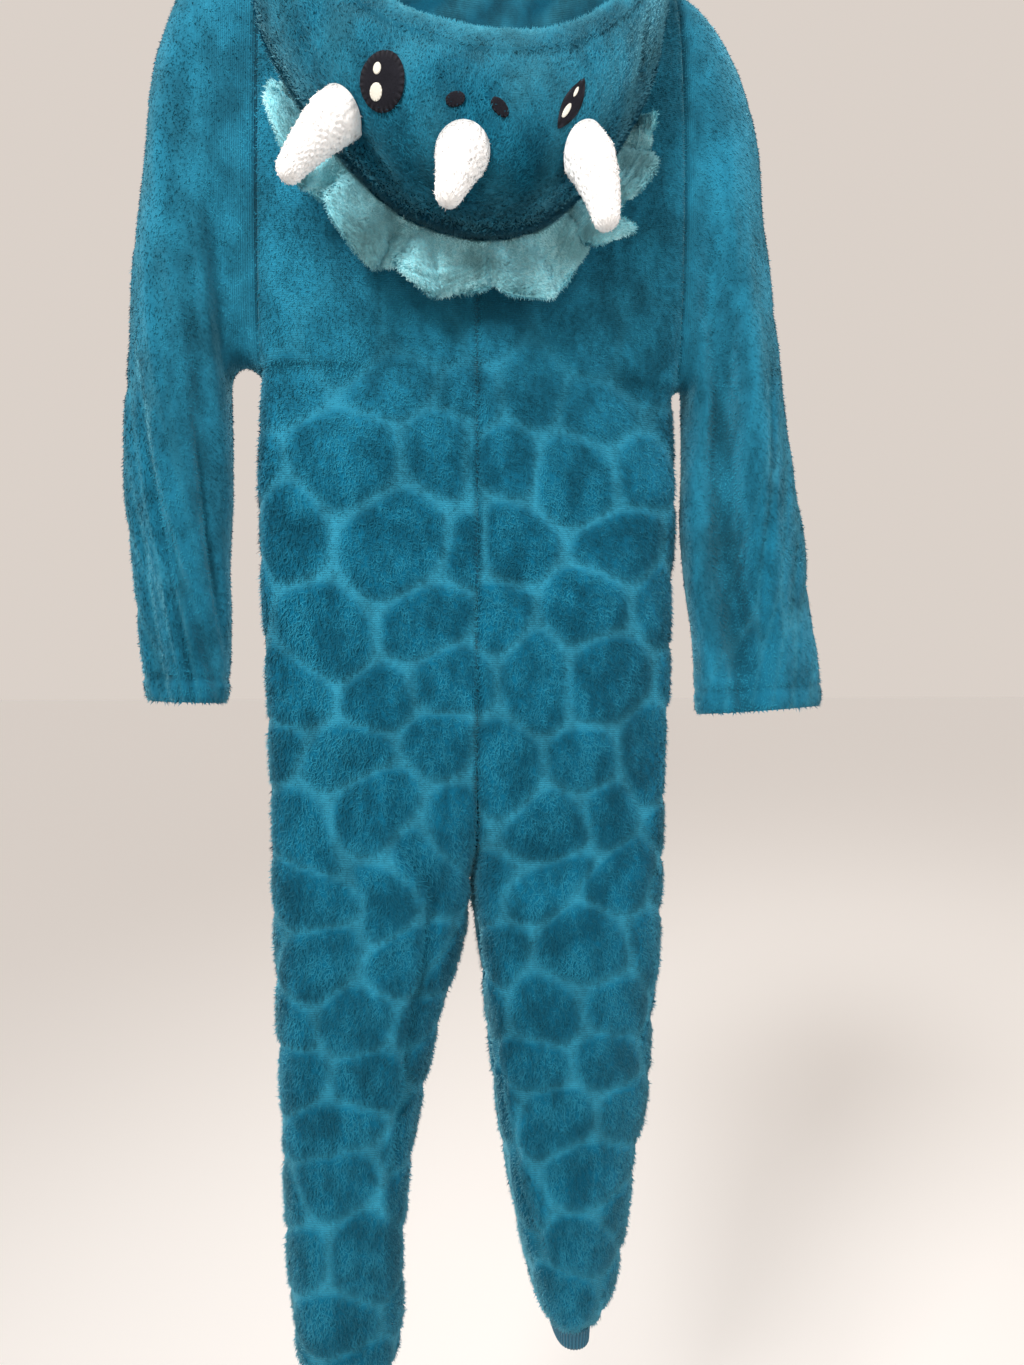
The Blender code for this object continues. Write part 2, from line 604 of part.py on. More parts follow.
def horn(name, face, row, column, base, tip, length, way, droop, collection):
    """A stuffed cone, sewn on by its base, which follows the hood."""
    right, down, normal, _ = face.frame(row, column)
    rings = [face.ring(row, column, base, base, 0, s, HORN_SIDES, FACE_LIFT) for s in (0.2, 0.55, 0.93)]
    start = face.at(row, column, base * 0.25)
    way = unit(np.array(way))
    angle = np.linspace(0, 2 * math.pi, HORN_SIDES, endpoint=False)
    body_length = length - tip
    stations = [(body_length * s, base + (tip - base) * s**0.9) for s in np.linspace(0.10, 1.0, HORN_ROWS)]
    stations += [(body_length + tip * math.sin(a), tip * math.cos(a)) for a in (0.5, 0.95, 1.3)]
    for out, radius in stations:
        share = out / length
        bend = normal * (1 - share) ** 2 * 0.35 + way * (0.3 + share)
        heading = unit(bend)
        centre = start + (normal * 0.35 * (share - share**2 * 0.8) + way * share * 0.95) * length
        centre = centre - np.array([0.0, 0.0, droop * share**2])
        first = unit(right - heading * np.dot(right, heading))
        second = unit(np.cross(heading, first))
        second = second * (1.0 if np.dot(second, down) > 0 else -1.0)
        rings.append(centre + radius * (np.cos(angle)[:, None] * first + np.sin(angle)[:, None] * second))
    return lofted(name, rings, "sherpa", collection)


def frill(seam_points, seam_normals, collection):
    """The gathered frill that stands out from the crown seam, in waves that grow towards its edge."""
    steps = np.linspace(FRILL_FROM, FRILL_TO, FRILL_COLUMNS + 1)
    seam = Surface(np.stack([seam_points, seam_points]), np.stack([seam_normals, seam_normals]))
    columns = steps * 2
    root = seam.at(np.zeros_like(columns), columns)
    out = unit(seam.read(seam.normals, np.zeros_like(columns), columns) * (1.0, 0.25, 1.0))
    share = (steps - FRILL_FROM) / (FRILL_TO - FRILL_FROM)
    wide = FRILL_END_WIDTH + (FRILL_WIDTH - FRILL_END_WIDTH) * np.sin(math.pi * share) ** 0.6
    phase = 2 * math.pi * FRILL_WAVES * share
    wide = wide * (1 + FRILL_SCALLOP * np.cos(phase + 0.6))
    grid = []
    for at in np.linspace(0.0, 1.0, FRILL_ROWS + 1):
        reach = FRILL_GAP + (wide - FRILL_GAP) * at
        sway = -FRILL_LEAN * at**1.3 + FRILL_WAVE * at * np.sin(phase)
        side = 0.35 * FRILL_WAVE * at * np.cos(phase)
        along = unit(np.gradient(root, axis=0))
        swing = sway[:, None] * np.array([0.0, 1.0, 0.0])
        grid.append(root + out * reach[:, None] + along * side[:, None] + swing)
    grid = np.array(grid)
    normals = unit(grid_normals(grid, False, (0, -1, 0)))
    thick = np.array([0.3, 0.85, 1.0, 1.0, 0.6])[:, None, None] * FRILL_THICKNESS / 2
    return wall("hood_frill", grid + normals * thick, grid - normals * thick, False, "frill_plush", collection)


def zip_pieces(left, right, collection):
    """One strip of two tapes and the closed chain, its slider and the pull, lying on the centre front."""
    levels = -left.points[:, -1, 2]
    rows = [r for r in range(len(levels)) if levels[r] <= ZIP_END_DROP]
    last = COLUMNS - 0.02

    at_rows = np.array(rows, float)
    at_rows[0] += 0.15
    near = COLUMNS - CHAIN_HALF_WIDTH / abs(left.points[ARM_STEPS, -1, 0] - left.points[ARM_STEPS, -2, 0])
    tape = LIE_GAP + TAPE
    above = tape + CHAIN
    half = [(COLUMNS - TAPE_SHARE, tape), (near - CHAIN_EDGE, tape), (near, above), (last, above)]
    spots = [(left, *spot) for spot in half] + [(right, *spot) for spot in half[::-1]]
    across = [(surface, np.full(len(rows), column), high) for surface, column, high in spots]
    outer = [surface.at(at_rows, columns, high) for surface, columns, high in across]
    inner = [surface.at(at_rows, columns, LIE_GAP) for surface, columns, _ in across]
    wall("zip_strip", np.array(outer), np.array(inner), False, "zip_tape", collection)
    row = float(np.interp(SLIDER_DROP, levels, np.arange(len(levels))))
    face = left.at(row, last)
    normal = unit(left.read(left.normals, np.asarray(row), np.asarray(last)))
    lean = math.atan2(normal[2], normal[1])
    slider_and_pull(face[1] + (above + LIE_GAP) / math.cos(lean) + LIE_GAP / 2, collection)


def block(name, size, place, finish, collection, bevel=0.0):
    bpy.ops.mesh.primitive_cube_add(size=1.0, location=place)
    made = bpy.context.object
    made.name = name
    made.scale = size
    bpy.ops.object.transform_apply(location=False, rotation=False, scale=True)
    if bevel:
        soft = made.modifiers.new("soft edges", "BEVEL")
        soft.width = bevel
        soft.segments = 2
    for old in made.users_collection:
        old.objects.unlink(made)
    collection.objects.link(made)
    made.data.materials.append(material(finish))
    return made


def wire(name, points, radius, finish, collection, resolution=2):
    curve = bpy.data.curves.new(name, "CURVE")
    curve.dimensions = "3D"
    curve.bevel_depth = radius
    curve.bevel_resolution = resolution
    curve.use_fill_caps = True
    spline = curve.splines.new("POLY")
    spline.points.add(len(points) - 1)
    for point, place in zip(spline.points, points):
        point.co = (*place, 1.0)
    made = bpy.data.objects.new(name, curve)
    collection.objects.link(made)
    curve.materials.append(material(finish))
    return made


def as_mesh(made, collection):
    """A curve turned into a mesh, so that it can be joined."""
    bpy.context.view_layer.update()
    ready = made.evaluated_get(bpy.context.evaluated_depsgraph_get())
    mesh = bpy.data.meshes.new_from_object(ready)
    shape = bmesh.new()
    shape.from_mesh(mesh)
    bmesh.ops.remove_doubles(shape, verts=shape.verts, dist=0.00001)
    shape.to_mesh(mesh)
    shape.free()
    name, place = made.name, made.matrix_world.copy()
    bpy.data.objects.remove(made)
    solid = bpy.data.objects.new(name, mesh)
    solid.matrix_world = place
    collection.objects.link(solid)
    return solid


def join(target, tool, operation, cutters):
    """Joins or cuts one solid with another, which stays as a guide."""
    change = target.modifiers.new(operation.lower(), "BOOLEAN")
    change.operation = operation
    change.object = tool
    tool.hide_render = True
    tool.display_type = "WIRE"
    for old in tool.users_collection:
        old.objects.unlink(tool)
    cutters.objects.link(tool)


def slider_and_pull(base, collection):
    """The slider lies on the chain. Its bridge is an arch, and the pull's window hangs in it."""
    cutters = bpy.data.collections.get("cutters")
    _, thick, tall = SLIDER_SIZE
    middle = base + thick / 2
    slider = block("zip_slider", SLIDER_SIZE, (0.0, middle, -SLIDER_DROP), "zip_metal", collection, 0.0008)
    face = base + thick
    arch_half = tall / 2 - BRIDGE_INSET
    turns = np.linspace(0.0, math.pi, 9)
    arch = [(0.0, face - BRIDGE_ROOT, -SLIDER_DROP + arch_half)]
    arch += [(0.0, face + BRIDGE_RISE * math.sin(t), -SLIDER_DROP + arch_half * math.cos(t)) for t in turns]
    arch.append((0.0, face - BRIDGE_ROOT, -SLIDER_DROP - arch_half))
    bridge = as_mesh(wire("slider_bridge", arch, BRIDGE_RADIUS, "zip_metal", collection), collection)
    join(slider, bridge, "UNION", cutters)
    axis_y, axis_z = face + PULL_AXIS_RISE, -SLIDER_DROP
    _, pull_thick, pull_long = PULL_SIZE
    window_wide, window_tall = PULL_WINDOW
    plate_top = axis_z + PULL_BAR / 2
    pull = block("zip_pull", PULL_SIZE, (0.0, axis_y, axis_z), "zip_metal", collection, 0.0003)
    pull.data.transform(Matrix.Translation((0.0, 0.0, PULL_BAR / 2 - pull_long / 2)))
    window = (window_wide, 8 * pull_thick, window_tall)
    place = (0.0, axis_y, plate_top - PULL_BAR - window_tall / 2)
    hole = block("pull_window", window, place, "zip_metal", collection)
    join(pull, hole, "DIFFERENCE", cutters)


def hanger(collection):
    """Plain shaped arms under the shoulders, and a steel hook whose inside top is the origin."""
    shoulder_slope = (SHOULDER_END_DROP - NECK_DROP) / (ARMHOLE_X["left"] - NECK_HALF_WIDTH)
    x = np.linspace(-HANGER_TIP_X, HANGER_TIP_X, 23)
    away = np.abs(x)
    out = np.sqrt(away**2 + HANGER_BEND**2) - NECK_HALF_WIDTH - HANGER_SINK
    past = np.maximum(away - ARMHOLE_X["left"] + HANGER_DROOP_FROM, 0.0)
    drop = NECK_DROP + HANGER_CLEARANCE + out * shoulder_slope + past**2 * HANGER_DROOP
    arms = [(a, 0.0, -d) for a, d in zip(x, drop)]
    wire("hanger_arms", arms, HANGER_RADIUS, "hanger_plastic", collection, resolution=3)
    top = -float(np.interp(0.0, x, drop)) + HANGER_RADIUS
    radius = HOOK_INSIDE + HOOK_RADIUS
    turns = np.radians(np.linspace(-35.0, 215.0, 22))
    loop = [(radius * math.cos(t), 0.0, -HOOK_INSIDE + radius * math.sin(t)) for t in turns]
    foot = np.array([0.0, 0.0, top + SEAM_GAP])
    start = np.array(loop[-1])
    bend = [tuple(start + (foot - start) * np.array([1 - (1 - s) ** 2, 0, s])) for s in (0.3, 0.6, 0.8)]
    straight, bent = HOOK_NECK
    neck = [(0.0, 0.0, top + straight), tuple(foot)]
    path = loop + [place for place in bend if place[2] > top + bent] + neck
    wire("hanger_hook", path, HOOK_RADIUS, "hanger_steel", collection)


def node_parts(name):
    """The nodes that a sheet is cut into, and the rows of its grid that each one takes."""
    if name in CUT_AT_LEG:
        return ((name, slice(0, LEG_ROW + 1)), (f"leg_{name}", slice(LEG_ROW, None)))
    return ((name, slice(None)),)


def main():
    for made in list(bpy.data.objects):
        bpy.data.objects.remove(made)
    collection = bpy.data.collections.new("onesie")
    cutters = bpy.data.collections.new("cutters")
    for made in (collection, cutters):
        bpy.context.scene.collection.children.link(made)

    sheets = {}
    for side in SIGNS:
        for face, word in ((BACK, "back"), (FRONT, "front")):
            panel = {"points": body_panel(side, face), "wrap": False, "outside": (0, face, 0), "cut": "body"}
            sheets[f"{word}_{side}"] = panel
        back, front = (sheets[f"{w}_{side}"]["points"] for w in ("back", "front"))
        arm = slice(0, ARM_STEPS + 1)
        sheets[f"sleeve_{side}"] = {
            "points": sleeve(side, back[arm, 0], front[arm, 0]),
            "wrap": True,
            "outside": (-SIGNS[side], 0, 0),
            "cut": "body",
        }
        sheets[f"leg_cuff_{side}"] = {
            "points": leg_cuff(side, back[-1], front[-1]),
            "wrap": True,
            "outside": (-SIGNS[side], 0, 0),
            "cut": "cuff",
            "finish": "rib_knit",
        }

    neck = slice(SHOULDER_COLUMNS, COLUMNS + 1)
    loop = [
        sheets["front_left"]["points"][0, neck][::-1],
        sheets["back_left"]["points"][0, neck][1:],
        sheets["back_right"]["points"][0, neck][::-1][1:],
        sheets["front_right"]["points"][0, neck][1:],
    ]
    coarse = np.concatenate(loop)
    finer = np.empty((2 * len(coarse) - 1, 3))
    finer[::2] = coarse
    finer[1::2] = (coarse[1:] + coarse[:-1]) / 2
    hood_back, hood_face = hood_sheets(finer)
    sheets["hood_back"] = {"points": hood_back, "wrap": False, "outside": (0, 1, 0), "cut": "hood back"}
    sheets["hood_face"] = {"points": hood_face, "wrap": False, "outside": (0, -1, 0), "cut": "hood face"}

    for sheet in sheets.values():
        sheet["normals"] = grid_normals(sheet["points"], sheet["wrap"], sheet["outside"])
    share_normals(sheets)
    edge = sheets["hood_back"]["normals"][0]
    edge[1::2] = unit(edge[:-1:2] + edge[2::2])
    for name, sheet in sheets.items():
        finish = sheet.get("finish", "plush")
        for node, rows in node_parts(name):
            points, normals = sheet["points"][rows], sheet["normals"][rows]
            outer = points + part_edges(points, sheet["wrap"])
            if name == "hood_back":
                outer[0] += np.array([0.0, 0.0, NECK_SEAM_LIFT])
            wall(node, outer, outer - normals * CLOTH, sheet["wrap"], finish, collection)

    face = Surface(hood_face, sheets["hood_face"]["normals"])
    rows = HOOD_FACE_ROWS
    for side, (step, share, wide, tall, turn) in EYES.items():
        row, column = share * rows, step * 2
        oval = (row, column, wide, tall, turn)
        felt_disc(f"eye_{side}", face, oval, 20, FACE_LIFT, FELT, "black_felt", collection)
        *_, solve = face.frame(row, column)
        for number, (right, down, wide_share, tall_share) in enumerate(EYE_SHINES, 1):
            lean = math.radians(turn)
            across, below = right * wide, down * tall
            move = solve @ np.array([
                across * math.cos(lean) - below * math.sin(lean),
                across * math.sin(lean) + below * math.cos(lean),
            ])
            oval = (row + move[0], column + move[1], wide * wide_share, tall * tall_share, turn)
            lift = FACE_LIFT + FELT + LIE_GAP
            felt_disc(f"eye_shine_{side}_{number}", face, oval, 10, lift, FELT / 2, "white_felt", collection)
    for side, (step, share, wide, tall, turn) in NOSTRILS.items():
        oval = (share * rows, step * 2, wide, tall, turn)
        felt_disc(f"nostril_{side}", face, oval, 10, 2 * LIE_GAP, FELT, "black_felt", collection)
    for name, (step, share, base, tip, length, way, droop) in HORNS.items():
        horn(f"horn_{name}", face, share * rows, step * 2, base, tip, length, way, droop, collection)
    frill(hood_face[0], sheets["hood_face"]["normals"][0], collection)
    fronts = [Surface(sheets[name]["points"], sheets[name]["normals"]) for name in ("front_left", "front_right")]
    zip_pieces(*fronts, collection)
    hanger(collection)


main()
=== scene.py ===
# A child's hooded plush onesie on a plain hanger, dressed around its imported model. Metres, +Z up.
# The origin is inside the hanger's hook, -Y is the garment's back with the hood, and -X the wearer's left.
import json
import math

import bpy
import numpy as np
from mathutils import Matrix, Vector

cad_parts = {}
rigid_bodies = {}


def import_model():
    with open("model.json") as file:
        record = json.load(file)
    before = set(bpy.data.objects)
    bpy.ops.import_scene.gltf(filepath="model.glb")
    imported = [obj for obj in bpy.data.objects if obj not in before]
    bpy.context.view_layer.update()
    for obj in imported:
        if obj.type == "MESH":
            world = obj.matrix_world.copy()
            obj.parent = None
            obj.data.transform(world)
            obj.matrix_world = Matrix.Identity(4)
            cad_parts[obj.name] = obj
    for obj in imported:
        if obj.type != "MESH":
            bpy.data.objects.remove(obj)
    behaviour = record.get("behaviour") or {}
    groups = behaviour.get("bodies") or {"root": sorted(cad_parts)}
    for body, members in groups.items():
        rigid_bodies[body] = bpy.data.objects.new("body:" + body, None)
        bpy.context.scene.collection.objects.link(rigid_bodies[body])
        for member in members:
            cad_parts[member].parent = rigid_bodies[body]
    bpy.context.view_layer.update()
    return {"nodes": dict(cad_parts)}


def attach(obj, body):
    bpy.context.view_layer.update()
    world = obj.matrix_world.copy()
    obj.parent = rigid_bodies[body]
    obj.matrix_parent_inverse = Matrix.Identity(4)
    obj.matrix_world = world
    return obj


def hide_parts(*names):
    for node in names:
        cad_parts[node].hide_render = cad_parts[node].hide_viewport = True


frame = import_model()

# Thickness of the cloth, the least that a trough leaves of it, and the gap under what lies on it
cloth = 0.003
thinnest = 0.0007
lieGap = 0.0004
signs = {"left": -1.0, "right": 1.0}
backFace, frontFace = -1.0, 1.0


# Curves and grids

def curveThrough(at, knots, values):
    # A cubic on each span between two knots, whose slopes come from the knots on either side.
    at = np.asarray(at, float)
    knots = np.asarray(knots, float)
    values = np.asarray(values, float)
    slopes = np.gradient(values, knots, axis=0)
    span = np.clip(np.searchsorted(knots, at) - 1, 0, len(knots) - 2)
    width = knots[span + 1] - knots[span]
    t = (at - knots[span]) / width
    shape = t.shape + (1,) * (values.ndim - 1)
    t, width = t.reshape(shape), width.reshape(shape)
    return (
        (2 * t**3 - 3 * t**2 + 1) * values[span]
        + (t**3 - 2 * t**2 + t) * width * slopes[span]
        + (3 * t**2 - 2 * t**3) * values[span + 1]
        + (t**3 - t**2) * width * slopes[span + 1]
    )


def unit(vectors):
    # Each vector divided by its own length.
    vectors = np.asarray(vectors, float)
    return vectors / np.maximum(np.linalg.norm(vectors, axis=-1, keepdims=True), 1e-12)


def smoothStep(value, low, high):
    # 0 below low, 1 above high, and a soft S between them.
    t = np.clip((value - low) / (high - low), 0.0, 1.0)
    return t * t * (3 - 2 * t)


def softNoise(across, down, size, seed, waves=9):
    # A sum of plane waves about size long, each in its own random direction, mostly within -1 to 1.
    random = np.random.default_rng(seed)
    total = np.zeros(np.shape(across))
    for angle, stretch, phase in random.random((waves, 3)):
        pace = 2 * math.pi / (size * (0.7 + 0.8 * stretch))
        heading = 2 * math.pi * angle
        along = across * math.cos(heading) + down * math.sin(heading)
        total = total + np.sin(pace * along + 2 * math.pi * phase)
    return total * math.sqrt(2.0 / waves) / 1.6


def refine(cage, rowAt, columnAt, wrap=False):
    # The smooth surface through a cage of points, read at fractions of its rows and columns.
    if wrap:
        cage = np.concatenate([cage[:, -3:], cage, cage[:, :3]], axis=1)
        columnAt = columnAt + 3
    along = curveThrough(rowAt, np.arange(len(cage)), cage)
    across = curveThrough(columnAt, np.arange(cage.shape[1]), np.swapaxes(along, 0, 1))
    return np.swapaxes(across, 0, 1)


def evenSteps(cage, axis, spacing, wrap=False):
    # Fractions of the cage's rows (axis 0) or columns (axis 1) that lie about spacing apart on the cloth.
    if wrap:
        cage = np.concatenate([cage, cage[:, :1]], axis=1)
    gaps = np.linalg.norm(np.diff(cage, axis=axis), axis=-1).mean(axis=1 - axis)
    run = np.concatenate([[0.0], np.cumsum(gaps)])
    count = max(int(round(run[-1] / spacing)), 2)
    steps = np.interp(np.linspace(0.0, run[-1], count + 1), run, np.arange(len(run)))
    return steps[:-1] if wrap else steps


def lengthsAlong(points, axis):
    # How far each point of a grid lies along its row (axis 1) or column (axis 0), from the first one.
    gaps = np.linalg.norm(np.diff(points, axis=axis), axis=-1)
    start = np.zeros_like(np.take(gaps, [0], axis=axis))
    return np.concatenate([start, np.cumsum(gaps, axis=axis)], axis=axis)


def gridNormals(points, wrap, outside):
    # The sum of the normals of the faces round each point, turned so that the middle one is on the side that
    # outside points to.
    ring = np.concatenate([points, points[:, :1]], axis=1) if wrap else points
    a, b, c, d = ring[:-1, :-1], ring[:-1, 1:], ring[1:, 1:], ring[1:, :-1]
    faces = np.cross(c - a, d - b)
    normals = np.zeros_like(ring)
    start, rest = slice(0, -1), slice(1, None)
    for rows, columns in ((start, start), (start, rest), (rest, rest), (rest, start)):
        normals[rows, columns] += faces
    if wrap:
        normals[:, 0] += normals[:, -1]
        normals = normals[:, :-1]
    middle = normals[normals.shape[0] // 2, normals.shape[1] // 2]
    return normals * (1.0 if np.dot(middle, outside) > 0 else -1.0)


def shareNormals(cages):
    # Where cages meet at a seam, their points take the direction halfway between its two sides' normals.
    total = {}
    for cage in cages.values():
        keys = np.round(cage["points"].reshape(-1, 3) * 2e4).astype(int)
        for key, normal in zip(map(tuple, keys), unit(cage["normals"]).reshape(-1, 3)):
            found = total.setdefault(key, {})
            found[cage["cut"]] = found.get(cage["cut"], 0.0) + normal
    for cage in cages.values():
        keys = np.round(cage["points"].reshape(-1, 3) * 2e4).astype(int)
        shared = np.array([sum(unit(side) for side in total[key].values()) for key in map(tuple, keys)])
        cage["normals"] = unit(shared).reshape(cage["points"].shape)


def ridge(x, drop, startX, startDrop, endX, endDrop, height, halfWidth):
    # A long soft ridge, or a trough, round the line from start to end, that fades at both ends.
    run = np.clip((drop - startDrop) / (endDrop - startDrop), -0.5, 1.5)
    line = startX + (endX - startX) * run
    along = np.clip(4 * np.minimum(run + 0.15, 1.15 - run), 0.0, 1.0)
    return height * np.exp(-(((x - line) / halfWidth) ** 2)) * along * along * (3 - 2 * along)


def crease(across, down, start, end, depth, halfWidth, bend=0.0):
    # A trough, or a ridge where depth is below 0, along the line from start to end, bowed by bend. It is
    # deepest at its middle and fades out at both ends.
    start, end = np.array(start), np.array(end)
    way = end - start
    long = np.linalg.norm(way)
    run = ((across - start[0]) * way[0] + (down - start[1]) * way[1]) / long**2
    off = ((down - start[1]) * way[0] - (across - start[0]) * way[1]) / long - bend * 4 * run * (1 - run)
    fade = np.clip(1 - (2 * run - 1) ** 4, 0.0, 1.0)
    return -depth * np.exp(-((off / halfWidth) ** 2)) * fade * fade


def readGrid(grid, row, column):
    # A grid's values at fractions of its rows and columns, straight between its points.
    row, column = np.asarray(row, float), np.asarray(column, float)
    r = np.clip(np.floor(row).astype(int), 0, grid.shape[0] - 2)
    c = np.clip(np.floor(column).astype(int), 0, grid.shape[1] - 2)
    s, t = row - r, column - c
    if grid.ndim == 3:
        s, t = s[..., None], t[..., None]
    first = grid[r, c] * (1 - t) + grid[r, c + 1] * t
    second = grid[r + 1, c] * (1 - t) + grid[r + 1, c + 1] * t
    return first * (1 - s) + second * s


def turned(across, down, degrees):
    # Two numbers or two directions, to the right and down, turned from right to down.
    tilt = math.radians(degrees)
    right = across * math.cos(tilt) - down * math.sin(tilt)
    below = across * math.sin(tilt) + down * math.cos(tilt)
    return right, below


# Meshes

def newPiece(name, points, quads, triangles, finish, values=None, clothMap=None, smooth=True):
    # quads and triangles hold point numbers, values are numbers at the points, and clothMap is where the
    # points are on the cloth.
    quads = np.asarray(quads, int).reshape(-1, 4)
    triangles = np.asarray(triangles, int).reshape(-1, 3)
    points = np.asarray(points, float)
    split = np.concatenate([quads[:, [0, 1, 2]], quads[:, [0, 2, 3]], triangles])
    a, b, c = (points[split[:, i]] - points.mean(axis=0) for i in range(3))
    if np.einsum("ij,ij->", a, np.cross(b, c)) < 0:
        quads, triangles = quads[:, ::-1], triangles[:, ::-1]
    corners = np.concatenate([quads.ravel(), triangles.ravel()])
    starts = np.concatenate([np.arange(len(quads)) * 4, 4 * len(quads) + np.arange(len(triangles)) * 3])
    mesh = bpy.data.meshes.new(name)
    mesh.vertices.add(len(points))
    mesh.vertices.foreach_set("co", points.astype(np.float32).ravel())
    mesh.loops.add(len(corners))
    mesh.loops.foreach_set("vertex_index", corners.astype(np.int32))
    mesh.polygons.add(len(starts))
    mesh.polygons.foreach_set("loop_start", starts.astype(np.int32))
    mesh.update(calc_edges=True)
    for label, numbers in (values or {}).items():
        attribute = mesh.attributes.new(label, "FLOAT", "POINT")
        attribute.data.foreach_set("value", np.asarray(numbers, np.float32).ravel())
    if clothMap is not None:
        layer = mesh.uv_layers.new(name="cloth")
        layer.uv.foreach_set("vector", clothMap.reshape(-1, 2)[corners].astype(np.float32).ravel())
    if smooth:
        mesh.shade_smooth()
    mesh.materials.append(finish)
    piece = bpy.data.objects.new(name, mesh)
    bpy.context.scene.collection.objects.link(piece)
    return piece


def gridQuads(rows, columns, wrap, first=0):
    # Four point numbers for each face of a grid whose rows follow each other from number first.
    r, c = np.meshgrid(np.arange(rows - 1), np.arange(columns if wrap else columns - 1), indexing="ij")
    n = (c + 1) % columns
    top, low = first + r * columns, first + (r + 1) * columns
    return np.stack([top + c, top + n, low + n, low + c], -1).reshape(-1, 4)


def shellQuads(rows, columns, wrap):
    # Faces of a wall between an outer grid and an inner one, which follows it, with all their edges joined.
    count = rows * columns
    outer = gridQuads(rows, columns, wrap)
    inner = gridQuads(rows, columns, wrap, count)[:, ::-1]
    c = np.arange(columns if wrap else columns - 1)
    n = (c + 1) % columns
    last = (rows - 1) * columns
    edges = [
        np.stack([n, c, c + count, n + count], -1),
        np.stack([last + c, last + n, last + n + count, last + c + count], -1),
    ]
    if not wrap:
        r = np.arange(rows - 1) * columns
        d = r + columns
        e = columns - 1
        edges += [
            np.stack([r, d, d + count, r + count], -1),
            np.stack([d + e, r + e, r + e + count, d + e + count], -1),
        ]
    return np.concatenate([outer, inner, *edges])


def wall(name, points, normals, rise, thick, wrap, finish, values, across, down):
    # A closed cloth wall: its outer side is the surface moved out by rise, and its inner side lies thick
    # below the surface, or further in where a trough would come near it.
    outer = points + normals * rise[..., None]
    inner = points - normals * np.maximum(thick, thinnest - rise)[..., None]
    rows, columns = rise.shape
    everywhere = {label: np.tile(numbers.ravel(), 2) for label, numbers in values.items()}
    clothMap = np.stack([across, down], -1).reshape(-1, 2)
    return newPiece(
        name,
        np.concatenate([outer.reshape(-1, 3), inner.reshape(-1, 3)]),
        shellQuads(rows, columns, wrap),
        [],
        finish,
        everywhere,
        np.tile(clothMap, (2, 1)),
    )


def closedRings(name, rings, finish, values=None):
    # A solid through closed rings, with a fan on a middle point at each end.
    rings = np.asarray(rings)
    rows, columns = rings.shape[:2]
    ends = np.stack([rings[0].mean(axis=0), rings[-1].mean(axis=0)])
    points = np.concatenate([rings.reshape(-1, 3), ends])
    c = np.arange(columns)
    n = (c + 1) % columns
    last = (rows - 1) * columns
    fans = np.concatenate([
        np.stack([n, c, np.full(columns, rows * columns)], -1),
        np.stack([last + c, last + n, np.full(columns, rows * columns + 1)], -1),
    ])
    if values:
        values = {k: np.concatenate([np.ravel(v), np.ravel(v)[[0, -1]]]) for k, v in values.items()}
    return newPiece(name, points, gridQuads(rows, columns, True), fans, finish, values)


def tube(name, path, radius, finish, sides=20, capSteps=5):
    # A round profile carried along a path, with rounded ends. Each section stands square to the path.
    path = np.asarray(path, float)
    along = unit(np.gradient(path, axis=0))
    turn = np.linspace(0, math.pi / 2, capSteps + 1)[:-1]
    radius = np.broadcast_to(radius, (len(path),))
    first = path[0] - along[0] * (radius[0] * np.cos(turn))[:, None]
    last = path[-1] + along[-1] * (radius[-1] * np.cos(turn[::-1]))[:, None]
    centres = np.concatenate([first, path, last])
    headings = np.concatenate([np.repeat(along[:1], capSteps, 0), along, np.repeat(along[-1:], capSteps, 0)])
    reach = np.concatenate([radius[0] * np.sin(turn), radius, radius[-1] * np.sin(turn[::-1])])
    reach = np.maximum(reach, 0.02 * radius.min())
    side = unit(np.cross(headings, np.broadcast_to([0.0, 1.0, 0.0], headings.shape)))
    other = np.cross(headings, side)
    angle = np.linspace(0, 2 * math.pi, sides, endpoint=False)
    rings = centres[:, None] + reach[:, None, None] * (
        np.cos(angle)[None, :, None] * side[:, None] + np.sin(angle)[None, :, None] * other[:, None]
    )
    return closedRings(name, rings, finish)


# Materials

class Socket:
    # An output of a node. Arithmetic on it, with another output or a number, adds a Math node.
    def __init__(self, tree, output):
        self.tree = tree
        self.output = output

    def maths(self, operation, first, second=0.0):
        return addNode(self.tree, "ShaderNodeMath", {"operation": operation}, {0: first, 1: second})

    def __add__(self, other):
        return self.maths("ADD", self, other)

    def __radd__(self, other):
        return self.maths("ADD", other, self)

    def __sub__(self, other):
        return self.maths("SUBTRACT", self, other)

    def __rsub__(self, other):
        return self.maths("SUBTRACT", other, self)

    def __mul__(self, other):
        return self.maths("MULTIPLY", self, other)

    def sine(self):
        return self.maths("SINE", self)

    def stepped(self, low, high):
        # 0 below low and 1 above high, with a soft S between them
        inputs = {"Value": self, "From Min": low, "From Max": high}
        return addNode(self.tree, "ShaderNodeMapRange", {"interpolation_type": "SMOOTHSTEP"}, inputs)


def addNode(tree, kind, settings=None, values=None, result=0):
    # A node of one kind. Its settings are set first, then its inputs, each a number, a colour or an output.
    made = tree.nodes.new(kind)
    for label, value in (settings or {}).items():
        setattr(made, label, value)
    for label, value in (values or {}).items():
        if isinstance(value, Socket):
            tree.links.new(value.output, made.inputs[label])
        else:
            made.inputs[label].default_value = value
    return Socket(tree, made.outputs[result])


def mixColour(tree, share, first, second):
    # The first colour at share 0 and the second at share 1.
    first = first if isinstance(first, Socket) else (*first, 1.0)
    second = second if isinstance(second, Socket) else (*second, 1.0)
    return addNode(tree, "ShaderNodeMix", {"data_type": "RGBA"}, {0: share, 6: first, 7: second}, 2)


